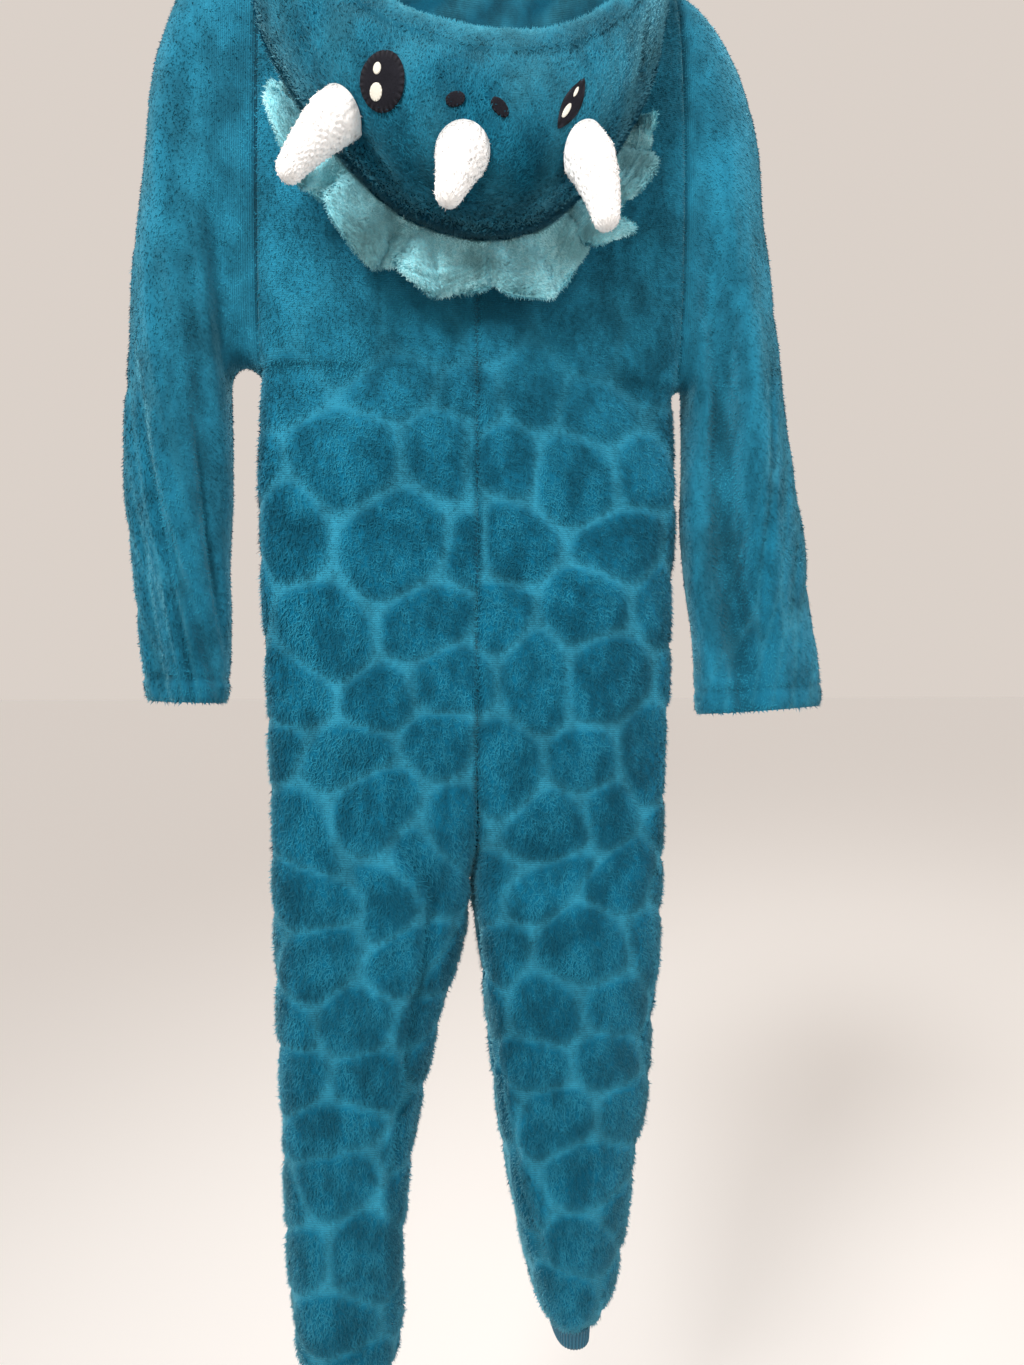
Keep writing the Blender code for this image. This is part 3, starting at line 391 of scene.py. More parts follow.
def brightened(tree, colour, amount):
    # A colour times a number.
    spread = addNode(tree, "ShaderNodeCombineXYZ", None, {"X": amount, "Y": amount, "Z": amount})
    return addNode(tree, "ShaderNodeVectorMath", {"operation": "MULTIPLY"}, {0: colour, 1: spread})


def newFinish(name, constants):
    # A material and its Principled shader. constants are the shader's numbers that are the same all over.
    made = bpy.data.materials.new(name)
    made.use_nodes = True
    tree = made.node_tree
    shader = tree.nodes["Principled BSDF"]
    for label, value in constants.items():
        shader.inputs[label].default_value = value
    return made, tree, shader


def noise(tree, place, scale, detail=2.0, roughness=0.5):
    # Smooth blots about 1 / scale metres across.
    inputs = {"Vector": place, "Scale": scale, "Detail": detail, "Roughness": roughness}
    return addNode(tree, "ShaderNodeTexNoise", None, inputs)


def attribute(tree, label):
    # The number that the mesh's points hold under this label.
    return addNode(tree, "ShaderNodeAttribute", {"attribute_name": label}, None, 2)


def onPiece(tree):
    # The place on the piece, in metres.
    return addNode(tree, "ShaderNodeTexCoord", None, None, 3)


def downCloth(tree):
    # How far down its cloth a place is, in metres.
    onCloth = addNode(tree, "ShaderNodeUVMap", {"uv_map": "cloth"})
    return addNode(tree, "ShaderNodeSeparateXYZ", None, {0: onCloth}, 1)


def shadeWith(tree, shader, colour, rough, height, strength, distance):
    # The colour, the roughness and a bump of that height go into the shader.
    inputs = {"Strength": strength, "Distance": distance, "Height": height}
    bump = addNode(tree, "ShaderNodeBump", None, inputs)
    for label, source in (("Base Color", colour), ("Roughness", rough), ("Normal", bump)):
        tree.links.new(source.output, shader.inputs[label])


plush = {
    # The tips colour of each plush is a painted highlight on the lit tips of its blades; pile and line are its
    # pattern
    "body": {"pile": (0.0015, 0.100, 0.180), "line": (0.022, 0.205, 0.315), "tipHighlight": (0.028, 0.275, 0.415)},
    # Hood: the body's teal made darker, as painted shade; its line colour is mostly a painted highlight on the
    # brim
    "hood": {"pile": (0.0010, 0.074, 0.132), "line": (0.045, 0.270, 0.380), "tipHighlight": (0.012, 0.182, 0.285)},
    # Frill: its own paler teal, made paler still as painted light where it catches the lamps
    "frill": {"pile": (0.260, 0.660, 0.740), "line": (0.260, 0.600, 0.670), "tipHighlight": (0.580, 0.920, 0.960)},
    "sheen": 0.65,
    "sheenTint": (0.30, 0.78, 0.95),
    "napSize": 11.0,
    # The nap noise and the patches lighten and darken the pile: painted sheen from the nap lying different ways
    "napSheenContrast": 0.55,
    "sheenPatchSize": 46.0,
    "sheenPatchContrast": 0.50,
    "grainSize": 620.0,
    "ribPitch": 0.0016,
}


def plushFinish(name, colours):
    # Pile that is darker where it is deep, and lighter along its shorn lines, where the knit's ribs show.
    made, tree, shader = newFinish(name, {
        "Sheen Weight": plush["sheen"],
        "Sheen Roughness": 0.42,
        "Sheen Tint": (*plush["sheenTint"], 1.0),
        "Specular IOR Level": 0.08,
    })
    place = onPiece(tree)
    tone = attribute(tree, "tone")
    tip = attribute(tree, "tip")
    seam = attribute(tree, "seam")
    nap = noise(tree, place, plush["napSize"], 4.0, 0.6)
    drawn = addNode(tree, "ShaderNodeMapping", None, {"Vector": place, "Scale": (1.0, 1.0, 0.55)})
    # Patches of painted sheen, where the pile catches more light
    sheenPatch = noise(tree, drawn, plush["sheenPatchSize"], 3.0, 0.65).stepped(0.34, 0.68)
    grain = noise(tree, place, plush["grainSize"], 2.0, 0.7)
    ribs = (downCloth(tree) * (2 * math.pi / plush["ribPitch"])).sine()
    bare = 1.0 - tone
    base = mixColour(tree, tone, colours["line"], colours["pile"])
    # Towards its blade tips, more so in the sheen patches, the pile takes the tips colour: a painted highlight
    lit = mixColour(tree, tip * (0.30 + sheenPatch * 0.55), base, colours["tipHighlight"])
    # Brightness: painted sheen from the nap and the patches, random grain, and painted shade in the ribs'
    # hollows.
    # The seam value darkens seam lines, and holds painted shade in troughs and hollows and painted light on
    # ridges.
    shade = 1.0 + (nap - 0.5) * plush["napSheenContrast"] + (sheenPatch - 0.5) * plush["sheenPatchContrast"]
    shade = shade + (grain - 0.5) * 0.4 + ribs * bare * 0.13 - seam * 0.30
    height = grain * 0.7 + nap * 0.3 + ribs * bare * 0.25
    shadeWith(tree, shader, brightened(tree, lit, shade), 0.80 + grain * 0.15, height, 0.55, 0.0012)
    return made


def sherpaFinish():
    # White curly pile, with painted shade that makes it slightly warmer and darker in the hollows between its
    # curls.
    made, tree, shader = newFinish("sherpa", {
        "Sheen Weight": 0.60,
        "Sheen Roughness": 0.5,
        "Specular IOR Level": 0.10,
    })
    curls = noise(tree, onPiece(tree), 300.0, 3.0, 0.6)
    share = curls.stepped(0.30, 0.65) * 0.7 + attribute(tree, "tip") * 0.3
    colour = mixColour(tree, share, (0.965, 0.96, 0.955), (1.0, 1.0, 1.0))
    shadeWith(tree, shader, colour, 0.82 + curls * 0.12, curls, 0.4, 0.0010)
    return made


def feltFinish(name, dark, light):
    # Pressed fibres: a fine mottle, and stitches that run across the edge.
    made, tree, shader = newFinish(name, {
        "Sheen Weight": 0.02,
        "Sheen Roughness": 0.5,
        "Specular IOR Level": 0.12,
    })
    place = onPiece(tree)
    fibres = noise(tree, place, 1400.0, 3.0, 0.7)
    blots = noise(tree, place, 90.0, 2.0, 0.5)
    rim = attribute(tree, "rim")
    stitch = attribute(tree, "stitch")
    share = fibres * 0.6 + blots * 0.3 + rim * stitch * 0.35
    colour = mixColour(tree, share.stepped(0.15, 0.85), dark, light)
    rough = 0.85 - rim * 0.3 + fibres * 0.1
    shadeWith(tree, shader, colour, rough, fibres * 0.5 + rim * stitch, 0.5, 0.0005)
    return made


def knitFinish():
    # A rib knit: painted shade makes it darker in its hollows, with the loops of each rib as small steps down
    # it.
    made, tree, shader = newFinish("rib knit", {
        "Sheen Weight": 0.25,
        "Sheen Roughness": 0.4,
        "Specular IOR Level": 0.2,
    })
    loopPitch = 0.0012
    loops = (downCloth(tree) * (2 * math.pi / loopPitch)).sine()
    fuzz = noise(tree, onPiece(tree), 900.0, 3.0, 0.6)
    share = attribute(tree, "tone") * 0.7 + fuzz * 0.3
    colour = mixColour(tree, share, (0.010, 0.070, 0.120), (0.035, 0.170, 0.260))
    shadeWith(tree, shader, colour, 0.78 + fuzz * 0.15, loops * 0.4 + fuzz * 0.6, 0.5, 0.0006)
    return made


def tapeFinish():
    # A twill tape: slanting ribs as fine as its threads.
    made, tree, shader = newFinish("zip tape", {"Sheen Weight": 0.2, "Specular IOR Level": 0.3})
    place = onPiece(tree)
    twillPitch, threadPitch = 0.0011, 0.0009
    x = addNode(tree, "ShaderNodeSeparateXYZ", None, {0: place}, 0)
    z = addNode(tree, "ShaderNodeSeparateXYZ", None, {0: place}, 2)
    slant = ((x + z * 0.6) * (2 * math.pi / twillPitch)).sine()
    cross = (z * (2 * math.pi / threadPitch)).sine()
    fuzz = noise(tree, place, 700.0, 2.0, 0.6)
    colour = mixColour(tree, slant * 0.2 + fuzz * 0.5 + 0.2, (0.006, 0.085, 0.125), (0.030, 0.190, 0.255))
    shadeWith(tree, shader, colour, 0.62 + fuzz * 0.2, slant * 0.5 + cross * 0.25, 0.6, 0.0003)
    return made


def hardFinish(name, first, second, metallic, rough, stretch, coat=0.0):
    # Metal or moulded plastic: brushed or flowed marks along one way, and smudges that vary its gloss.
    made, tree, shader = newFinish(name, {"Metallic": metallic, "Coat Weight": coat, "Coat Roughness": 0.2})
    place = onPiece(tree)
    drawn = addNode(tree, "ShaderNodeMapping", None, {"Vector": place, "Scale": stretch})
    marks = noise(tree, drawn, 400.0, 3.0, 0.6)
    smudges = noise(tree, place, 60.0, 3.0, 0.5)
    colour = mixColour(tree, marks * 0.5 + smudges * 0.5, first, second)
    shadeWith(tree, shader, colour, rough - 0.08 + smudges * 0.12 + marks * 0.06, marks, 0.15, 0.0002)
    return made


finishes = {
    "body": plushFinish("plush", plush["body"]),
    "hood": plushFinish("hood plush", plush["hood"]),
    "frill": plushFinish("frill plush", plush["frill"]),
    "sherpa": sherpaFinish(),
    "black": feltFinish("black felt", (0.004, 0.004, 0.007), (0.020, 0.020, 0.028)),
    "white": feltFinish("white felt", (0.62, 0.60, 0.52), (0.90, 0.89, 0.82)),
    "knit": knitFinish(),
    "tape": tapeFinish(),
    "metal": hardFinish("zip metal", (0.48, 0.49, 0.51), (0.66, 0.67, 0.69), 1.0, 0.30, (1.0, 1.0, 0.08)),
    "plastic": hardFinish(
        "hanger plastic", (0.76, 0.76, 0.74), (0.86, 0.86, 0.84), 0.0, 0.38, (0.1, 1.0, 1.0), 0.25
    ),
    "steel": hardFinish("hanger steel", (0.58, 0.59, 0.61), (0.72, 0.73, 0.75), 1.0, 0.22, (1.0, 1.0, 0.1)),
}
print("finishes made")


# The body's cut: columns of a cage run from the side seam to the centre seam, rows from shoulder to ankle

body = {
    "neckDrop": 0.082,
    "neckHalfWidth": 0.075,
    "neckHalfDepth": 0.034,
    "neckPower": 2.6,
    "scoopPower": 1.7,
    "scoops": {backFace: 0.012, frontFace: 0.055},
    "shoulderEndDrop": 0.105,
    "underarmDrop": 0.425,
    "armholeX": {"left": 0.157, "right": 0.160},
    "armholeHalfDepth": 0.034,
    "crotchDrop": 0.800,
    "seatCurve": 0.100,
    "legEnd": {"left": 1.162, "right": 1.138},
    "sectionPower": 2.6,
    "armPower": 0.75,
    "shoulderPower": 1.5,
    "foldFrom": 0.030,
    "armSteps": 12,
    "shoulderColumns": 4,
    "neckColumns": 5,
    "torsoRows": 10,
    "legShares": (0.09, 0.19, 0.29, 0.39, 0.49, 0.59, 0.69, 0.79, 0.88, 0.945, 0.98, 1.0),
    # drop, outer edge x, inner edge x, half depth, all away from the centre
    "outline": {
        "left": (
            (0.425, 0.158, 0.0000, 0.040),
            (0.500, 0.160, 0.0000, 0.041),
            (0.590, 0.157, 0.0000, 0.042),
            (0.690, 0.152, 0.0000, 0.044),
            (0.780, 0.149, 0.0000, 0.046),
            (0.815, 0.148, 0.0010, 0.045),
            (0.850, 0.147, 0.0080, 0.044),
            (0.905, 0.145, 0.0250, 0.042),
            (0.960, 0.142, 0.0370, 0.040),
            (1.015, 0.140, 0.0480, 0.037),
            (1.060, 0.138, 0.0520, 0.035),
            (1.110, 0.134, 0.0520, 0.034),
            (1.140, 0.130, 0.0540, 0.033),
            (1.155, 0.121, 0.0580, 0.030),
            (1.162, 0.101, 0.0610, 0.026),
        ),
        "right": (
            (0.425, 0.161, 0.0000, 0.040),
            (0.500, 0.163, 0.0000, 0.041),
            (0.590, 0.160, 0.0000, 0.042),
            (0.690, 0.156, 0.0000, 0.044),
            (0.780, 0.150, 0.0000, 0.046),
            (0.815, 0.149, 0.0010, 0.046),
            (0.850, 0.147, 0.0060, 0.046),
            (0.905, 0.142, 0.0120, 0.045),
            (0.960, 0.137, 0.0180, 0.044),
            (1.015, 0.128, 0.0260, 0.043),
            (1.060, 0.120, 0.0350, 0.042),
            (1.095, 0.113, 0.0430, 0.041),
            (1.118, 0.106, 0.0490, 0.039),
            (1.131, 0.100, 0.0540, 0.036),
            (1.138, 0.092, 0.0620, 0.031),
        ),
    },
    # face, start x and drop, end x and drop, height (a trough is below 0), half width
    "folds": (
        (-1, -0.074, 0.700, -0.056, 1.080, 0.0060, 0.016),
        (-1, -0.112, 0.640, -0.104, 1.000, -0.0030, 0.020),
        (-1, 0.085, 0.820, 0.075, 1.060, 0.0040, 0.022),
        (-1, 0.000, 0.600, 0.000, 0.740, -0.0040, 0.018),
        (-1, -0.080, 0.560, -0.070, 0.700, 0.0035, 0.035),
        (-1, 0.080, 0.560, 0.075, 0.720, 0.0035, 0.035),
        (1, -0.100, 0.620, -0.085, 1.020, 0.0050, 0.018),
        (1, 0.100, 0.620, 0.075, 0.980, 0.0050, 0.018),
        (1, -0.120, 0.440, -0.070, 0.600, -0.0040, 0.020),
        (1, 0.120, 0.440, 0.070, 0.600, -0.0040, 0.020),
    ),
}
bodyColumns = body["shoulderColumns"] + body["neckColumns"]


def roundedHalf(outer, inner, depth, whole, fine=240):
    # Half a superellipse section from its outer edge to its middle, or on to its inner edge where it is
    # whole, in even steps of its length.
    turn = np.linspace(0.0, math.pi if whole else math.pi / 2, fine)
    half = (outer - inner) / (2 if whole else 1)
    middle = (outer + inner) / 2 if whole else inner
    roundness = 2 / body["sectionPower"]
    x = middle + half * np.sign(np.cos(turn)) * np.abs(np.cos(turn)) ** roundness
    y = depth * np.abs(np.sin(turn)) ** roundness
    run = np.concatenate([[0.0], np.cumsum(np.hypot(np.diff(x), np.diff(y)))])
    at = np.linspace(0.0, run[-1], bodyColumns + 1)
    return np.interp(at, run, x), np.interp(at, run, y)


def bodyRow(side, drop):
    # A level section: half a torso, then half torso and whole leg mixed over the seat's curve, then a leg.
    knots, *sizes = np.array(body["outline"][side]).T
    out, inner, deep = (float(curveThrough(drop, knots, v)) for v in sizes)
    torso = np.array(roundedHalf(out, 0.0, deep, False))
    leg = np.array(roundedHalf(out, max(inner, 0.0), deep, True))
    fall = np.clip((drop - (body["crotchDrop"] - body["seatCurve"])) / body["seatCurve"], 0.0, 1.0)
    return torso + (leg - torso) * (1.0 - math.sqrt(1.0 - fall**2))


def topEdge(side, face):
    # The shoulder seam, a straight slope, then the neckline, a superellipse seen from above with a scoop.
    arm, halfWidth = body["armholeX"][side], body["neckHalfWidth"]
    turn = np.linspace(0.0, math.pi / 2, body["neckColumns"] + 1)
    power = 2 / body["neckPower"]
    neckX = halfWidth * np.maximum(np.cos(turn[1:]), 0.0) ** power
    x = np.concatenate([np.linspace(arm, halfWidth, body["shoulderColumns"] + 1), neckX])
    bow = np.concatenate([np.zeros(body["shoulderColumns"] + 1), np.sin(turn[1:])])
    slope = (body["shoulderEndDrop"] - body["neckDrop"]) / (arm - halfWidth)
    drop = body["neckDrop"] + np.maximum(x - halfWidth, 0.0) * slope
    drop = drop + body["scoops"][face] * bow ** body["scoopPower"]
    return x, body["neckHalfDepth"] * bow**power, drop


def bodyCage(side, face):
    # Rows that swing round the armhole from shoulder seam to underarm, then level sections to the ankle.
    sideX, sideY = bodyRow(side, body["underarmDrop"])
    topX, topY, topDrop = topEdge(side, face)
    turn = np.linspace(0.0, math.pi, body["armSteps"] + 1)[:-1, None]
    high = (1 + np.cos(turn)) / 2
    middle = sideY / sideY[-1]
    full = np.sin(np.minimum(turn, math.pi / 2)) ** body["armPower"]
    arm = body["armholeHalfDepth"] * np.sin(turn) ** body["armPower"]
    upperX = sideX + (topX - sideX) * high
    upperY = arm * (1 - middle) + middle * sideY[-1] * full + topY * (1 - full)
    level = body["shoulderEndDrop"] + (body["underarmDrop"] - body["shoulderEndDrop"]) * (1 - high)
    upperDrop = level + (topDrop - body["shoulderEndDrop"]) * high ** body["shoulderPower"]
    torso = np.linspace(body["underarmDrop"], body["crotchDrop"], body["torsoRows"] + 1)
    leg = body["crotchDrop"] + (body["legEnd"][side] - body["crotchDrop"]) * np.array(body["legShares"])
    drops = np.concatenate([torso, leg])
    lower = np.array([bodyRow(side, drop) for drop in drops])
    x = np.concatenate([upperX, lower[:, 0]]) * signs[side]
    y = np.concatenate([upperY, lower[:, 1]])
    drop = np.concatenate([upperDrop, np.repeat(drops[:, None], bodyColumns + 1, 1)])
    inside = np.clip(y / body["foldFrom"], 0.0, 1.0) ** 2
    for foldFace, *fold in body["folds"]:
        if foldFace == face:
            y = y + ridge(x, drop, *fold) * inside
    return np.stack([x, y * face, -drop], axis=-1)


# Sleeves

sleeves = {
    "rows": 17,
    # inner edge x and drop, outer edge x and drop, half depth, away from the centre
    "rings": {
        "left": (
            (0.158, 0.425, 0.157, 0.105, 0.034),
            (0.163, 0.421, 0.180, 0.113, 0.036),
            (0.168, 0.420, 0.204, 0.134, 0.038),
            (0.172, 0.422, 0.221, 0.165, 0.040),
            (0.1750, 0.427, 0.231, 0.210, 0.041),
            (0.1765, 0.436, 0.238, 0.270, 0.042),
            (0.1765, 0.451, 0.245, 0.345, 0.041),
            (0.1755, 0.477, 0.251, 0.420, 0.039),
            (0.1755, 0.515, 0.253, 0.485, 0.037),
            (0.1770, 0.560, 0.249, 0.545, 0.035),
            (0.1780, 0.605, 0.243, 0.600, 0.034),
            (0.1780, 0.640, 0.240, 0.638, 0.033),
            (0.1800, 0.665, 0.236, 0.663, 0.032),
        ),
        "right": (
            (0.161, 0.425, 0.160, 0.105, 0.034),
            (0.1655, 0.421, 0.182, 0.118, 0.036),
            (0.1685, 0.421, 0.202, 0.143, 0.037),
            (0.1700, 0.424, 0.217, 0.176, 0.038),
            (0.1705, 0.430, 0.227, 0.221, 0.038),
            (0.1705, 0.440, 0.235, 0.280, 0.037),
            (0.1700, 0.455, 0.243, 0.350, 0.036),
            (0.1690, 0.478, 0.251, 0.418, 0.034),
            (0.1680, 0.515, 0.262, 0.490, 0.032),
            (0.1690, 0.555, 0.271, 0.550, 0.030),
            (0.1770, 0.605, 0.277, 0.600, 0.029),
            (0.1810, 0.645, 0.284, 0.640, 0.028),
            (0.1840, 0.675, 0.286, 0.668, 0.028),
        ),
    },
    # start turn from the outer edge in degrees (the back is above 0) and place along the sleeve, end turn and
    # place, height, half width in degrees
    "folds": {
        "left": (
            (35, 0.55, 60, 0.97, -0.0060, 20),
            (105, 0.18, 150, 0.42, -0.0060, 18),
            (80, 0.12, 120, 0.40, 0.0050, 20),
            (-60, 0.35, -80, 0.90, -0.0050, 22),
        ),
        "right": (
            (118, 0.16, 122, 0.88, -0.0090, 17),
            (85, 0.20, 82, 0.85, 0.0040, 20),
            (150, 0.60, 152, 0.96, 0.0030, 15),
            (-70, 0.30, -95, 0.85, -0.0050, 22),
        ),
    },
}


def sleeveCage(side, backEdge, frontEdge):
    # Rings that swing from the upright armhole to the level wrist: ellipses swollen by the folds along them.
    table = np.array(sleeves["rings"][side])
    turn = np.linspace(0.0, math.pi, body["armSteps"] + 1)
    turns = np.concatenate([turn, -turn[1:-1][::-1]])[None]
    at = np.linspace(0.0, 1.0, sleeves["rows"] + 1)[1:]
    sizes = curveThrough(at, np.linspace(0.0, 1.0, len(table)), table)
    inX, inDrop, outX, outDrop, depth = sizes.T[:, :, None]
    at = at[:, None]
    swell = sum(ridge(np.degrees(turns), at, *fold) for fold in sleeves["folds"][side])
    across = np.cos(turns)
    deep = depth * np.abs(np.sin(turns)) ** (0.75 + 0.10 * at)
    lean = 1 + swell * across**2 * 2 / np.hypot(outX - inX, outDrop - inDrop)
    x = (outX + inX) / 2 + (outX - inX) / 2 * across * lean
    drop = (outDrop + inDrop) / 2 + (outDrop - inDrop) / 2 * across * lean
    y = -np.sign(turns) * (deep + swell * np.abs(np.sin(turns)))
    rings = np.stack([x * signs[side], y, -drop], axis=-1)
    return np.concatenate([np.concatenate([backEdge, frontEdge[1:-1][::-1]])[None], rings])


# The hood's cut: from the neckline down the back to the crown seam, then up its face to the brim

hood = {
    # step round the neck (0 and 20 at the zip, 10 at the centre back), crown seam x, y and drop, brim x, y
    # and drop, belly
    "table": (
        (0.0, -0.010, 0.040, 0.116, -0.010, 0.046, 0.090, 0.02),
        (2.5, -0.061, 0.035, 0.084, -0.069, 0.034, 0.054, 0.05),
        (3.75, -0.086, 0.012, 0.062, -0.094, 0.006, 0.038, 0.08),
        (4.4, -0.108, -0.010, 0.068, -0.112, -0.012, 0.044, 0.12),
        (5.0, -0.130, -0.036, 0.096, -0.130, -0.034, 0.060, 0.15),
        (6.0, -0.155, -0.056, 0.185, -0.148, -0.078, 0.118, 0.35),
        (7.0, -0.136, -0.060, 0.241, -0.122, -0.108, 0.173, 0.60),
        (8.0, -0.103, -0.062, 0.284, -0.080, -0.130, 0.212, 0.90),
        (9.0, -0.058, -0.062, 0.324, -0.041, -0.137, 0.230, 1.00),
        (10.0, -0.002, -0.062, 0.337, 0.003, -0.138, 0.233, 1.00),
        (11.0, 0.046, -0.062, 0.323, 0.044, -0.132, 0.222, 0.95),
        (12.0, 0.084, -0.063, 0.284, 0.084, -0.115, 0.187, 0.80),
        (13.0, 0.113, -0.062, 0.235, 0.113, -0.092, 0.140, 0.50),
        (14.0, 0.131, -0.055, 0.165, 0.131, -0.062, 0.092, 0.30),
        (15.0, 0.122, -0.036, 0.096, 0.126, -0.034, 0.060, 0.15),
        (15.6, 0.108, -0.010, 0.068, 0.112, -0.012, 0.044, 0.12),
        (16.25, 0.086, 0.012, 0.062, 0.094, 0.006, 0.038, 0.08),
        (17.5, 0.061, 0.035, 0.084, 0.069, 0.034, 0.054, 0.05),
        (20.0, 0.010, 0.040, 0.116, 0.010, 0.046, 0.090, 0.02),
    ),
    "roll": (0.015, 0.008, 0.036),
    "fullRoll": 0.080,
    "hangDepth": 0.010,
    "hangShares": (0.1, 0.0, 0.45),
    "backShares": (0.0, 0.04, 0.10, 0.19, 0.32, 0.50, 0.73, 1.0),
    "faceRows": 8,
    "halfSpan": 0.12,
    "bellyBack": 0.080,
    "bellyDrop": 0.012,
    "bellySide": 0.014,
    "browBack": 0.036,
    "browDrop": 0.070,
    "neckLift": 0.0009,
    "hem": 0.025,
}


def bezier(a, b, c, d, at):
    # Places on cubic curves that start at a and end at d, and are drawn towards b and c between them.
    at = np.asarray(at)[:, None, None]
    return (1 - at) ** 3 * a + 3 * (1 - at) ** 2 * at * b + 3 * (1 - at) * at**2 * c + at**3 * d


def hoodCages(neckline):
    # Two sheets of cubic curves: the first goes from the neckline down to the crown seam, the second from
    # there to the brim.
    table = np.array(hood["table"])
    steps = np.linspace(0.0, 20.0, len(neckline))
    seam = curveThrough(steps, table[:, 0], table[:, 1:4]) * (1, 1, -1)
    brim = curveThrough(steps, table[:, 0], table[:, 4:7]) * (1, 1, -1)
    belly = curveThrough(steps, table[:, 0], table[:, 7])[:, None]
    outward = neckline / (body["neckHalfWidth"], body["neckHalfDepth"], 1.0) * (1.0, 1.0, 0.0)
    roll = np.minimum(np.linalg.norm(seam - neckline, axis=1, keepdims=True) / hood["fullRoll"], 1.0)
    outRoll, backRoll, upRoll = hood["roll"]
    rise = neckline + roll * (outward * outRoll + np.array([0.0, -backRoll, upRoll]))
    hang = seam + np.array([0.0, hood["hangDepth"], 0.0]) * roll
    hang = hang + (neckline - seam) * np.array(hood["hangShares"])
    sideways = seam[:, :1] / hood["halfSpan"] * np.array([1.0, 0.0, 0.0]) * hood["bellySide"]
    low = seam + belly * (sideways + np.array([0.0, -hood["bellyBack"], -hood["bellyDrop"]]))
    high = brim + belly * (sideways + np.array([0.0, -hood["browBack"], -hood["browDrop"]]))
    back = bezier(neckline, rise, hang, seam, hood["backShares"])
    face = bezier(seam, low, high, brim, np.linspace(0, 1, hood["faceRows"] + 1))
    return back, face


def makeCages():
    # Coarse grids of the panels, sleeves and hood, which share the points of their seams, and their normals.
    cages = {}
    for side in signs:
        for face, word in ((backFace, "back"), (frontFace, "front")):
            cages[f"{word}_{side}"] = {
                "points": bodyCage(side, face), "wrap": False, "outside": (0, face, 0), "cut": "body",
            }
        back, front = (cages[f"{word}_{side}"]["points"] for word in ("back", "front"))
        arm = slice(0, body["armSteps"] + 1)
        cages[f"sleeve_{side}"] = {
            "points": sleeveCage(side, back[arm, 0], front[arm, 0]),
            "wrap": True, "outside": (-signs[side], 0, 0), "cut": "body",
        }
    neck = slice(body["shoulderColumns"], bodyColumns + 1)
    coarse = np.concatenate([
        cages["front_left"]["points"][0, neck][::-1],
        cages["back_left"]["points"][0, neck][1:],
        cages["back_right"]["points"][0, neck][::-1][1:],
        cages["front_right"]["points"][0, neck][1:],
    ])
    finer = np.empty((2 * len(coarse) - 1, 3))
    finer[::2] = coarse
    finer[1::2] = (coarse[1:] + coarse[:-1]) / 2
    back, face = hoodCages(finer)
    cages["hood_back"] = {"points": back, "wrap": False, "outside": (0, 1, 0), "cut": "hood back"}
    cages["hood_face"] = {"points": face, "wrap": False, "outside": (0, -1, 0), "cut": "hood face"}
    for cage in cages.values():
        cage["normals"] = gridNormals(cage["points"], cage["wrap"], cage["outside"])
    shareNormals(cages)
    edge = cages["hood_back"]["normals"][0]
    edge[1::2] = unit(edge[:-1:2] + edge[2::2])
    cages["hood_back"]["points"][0] += np.array([0.0, 0.0, hood["neckLift"]])
    return cages


cages = makeCages()
print("cut laid out")


# The plush's pattern of raised scales

scales = {
    "width": 0.064,
    "height": 0.052,
    "jitter": 0.24,
    "warp": 0.008,
    "warpSize": 0.16,
    "corner": 0.0040,
    "lineHalf": 0.0030,
    "lineSoft": 0.0026,
    "raised": 0.0018,
    "sunk": 0.0004,
    # Tone where the pattern fades, on the upper body and sleeves: set low, it lightens them as painted light
    "faintTone": 0.40,
    "flatter": 0.20,
    "rowJitter": 0.8,
    "domeReach": 0.016,
    "repeat": 64,
}


def scaleCells(across, down, seed):
    # Each point belongs to the nearest of the jittered middles of a brickwork of scales. Its distance to the
    # line between that scale and a neighbour is (d2^2 - d1^2) / twice the distance between their middles,
    # and a soft minimum over the neighbours rounds the scale's corners.
    random = np.random.default_rng(seed)
    repeat = scales["repeat"]
    table = random.random((repeat, repeat, 3))
    wide, high = scales["width"], scales["height"]
    across = across + scales["warp"] * softNoise(across, down, scales["warpSize"], seed + 1)
    down = down + scales["warp"] * softNoise(across, down, scales["warpSize"], seed + 2)
    row = np.floor(down / high).astype(int)
    middles = []
    for rowStep in (-2, -1, 0, 1, 2):
        r = row + rowStep
        shift = 0.5 * (r % 2)
        column = np.floor(across / wide - shift).astype(int)
        for columnStep in (-1, 0, 1, 2):
            c = column + columnStep
            jump = (table[r % repeat, c % repeat, :2] - 0.5) * 2 * scales["jitter"]
            x = (c + shift + 0.5 + jump[..., 0]) * wide - wide / 2
            y = (r + 0.5 + jump[..., 1] * scales["rowJitter"]) * high
            middles.append(np.stack([x, y], -1))
    middles = np.array(middles)
    here = np.stack([across, down], -1)
    distance = np.linalg.norm(middles - here, axis=-1)
    nearest = np.argmin(distance, axis=0)
    own = np.take_along_axis(middles, nearest[None, ..., None], axis=0)
    least = np.min(distance, axis=0)
    apart = np.linalg.norm(middles - own, axis=-1)
    other = apart > 1e-6
    toEdge = (distance**2 - least**2) / (2 * np.maximum(apart, 1e-6))
    soft = scales["corner"]
    total = np.sum(np.where(other, np.exp(-toEdge / soft), 0.0), axis=0)
    edge = -soft * np.log(np.maximum(total, 1e-12))
    mask = smoothStep(edge, scales["lineHalf"] - scales["lineSoft"], scales["lineHalf"] + scales["lineSoft"])
    dome = smoothStep(edge, 0.0, scales["domeReach"])
    return mask, dome


def seamMark(distance, halfWidth=0.0016):
    # 1 on a seam, which fades to either side of it.
    return np.exp(-((distance / halfWidth) ** 2))


def seamDip(distance, depth=0.0010, halfWidth=0.0022):
    # A dent along a seam.
    return -depth * seamMark(distance, halfWidth)


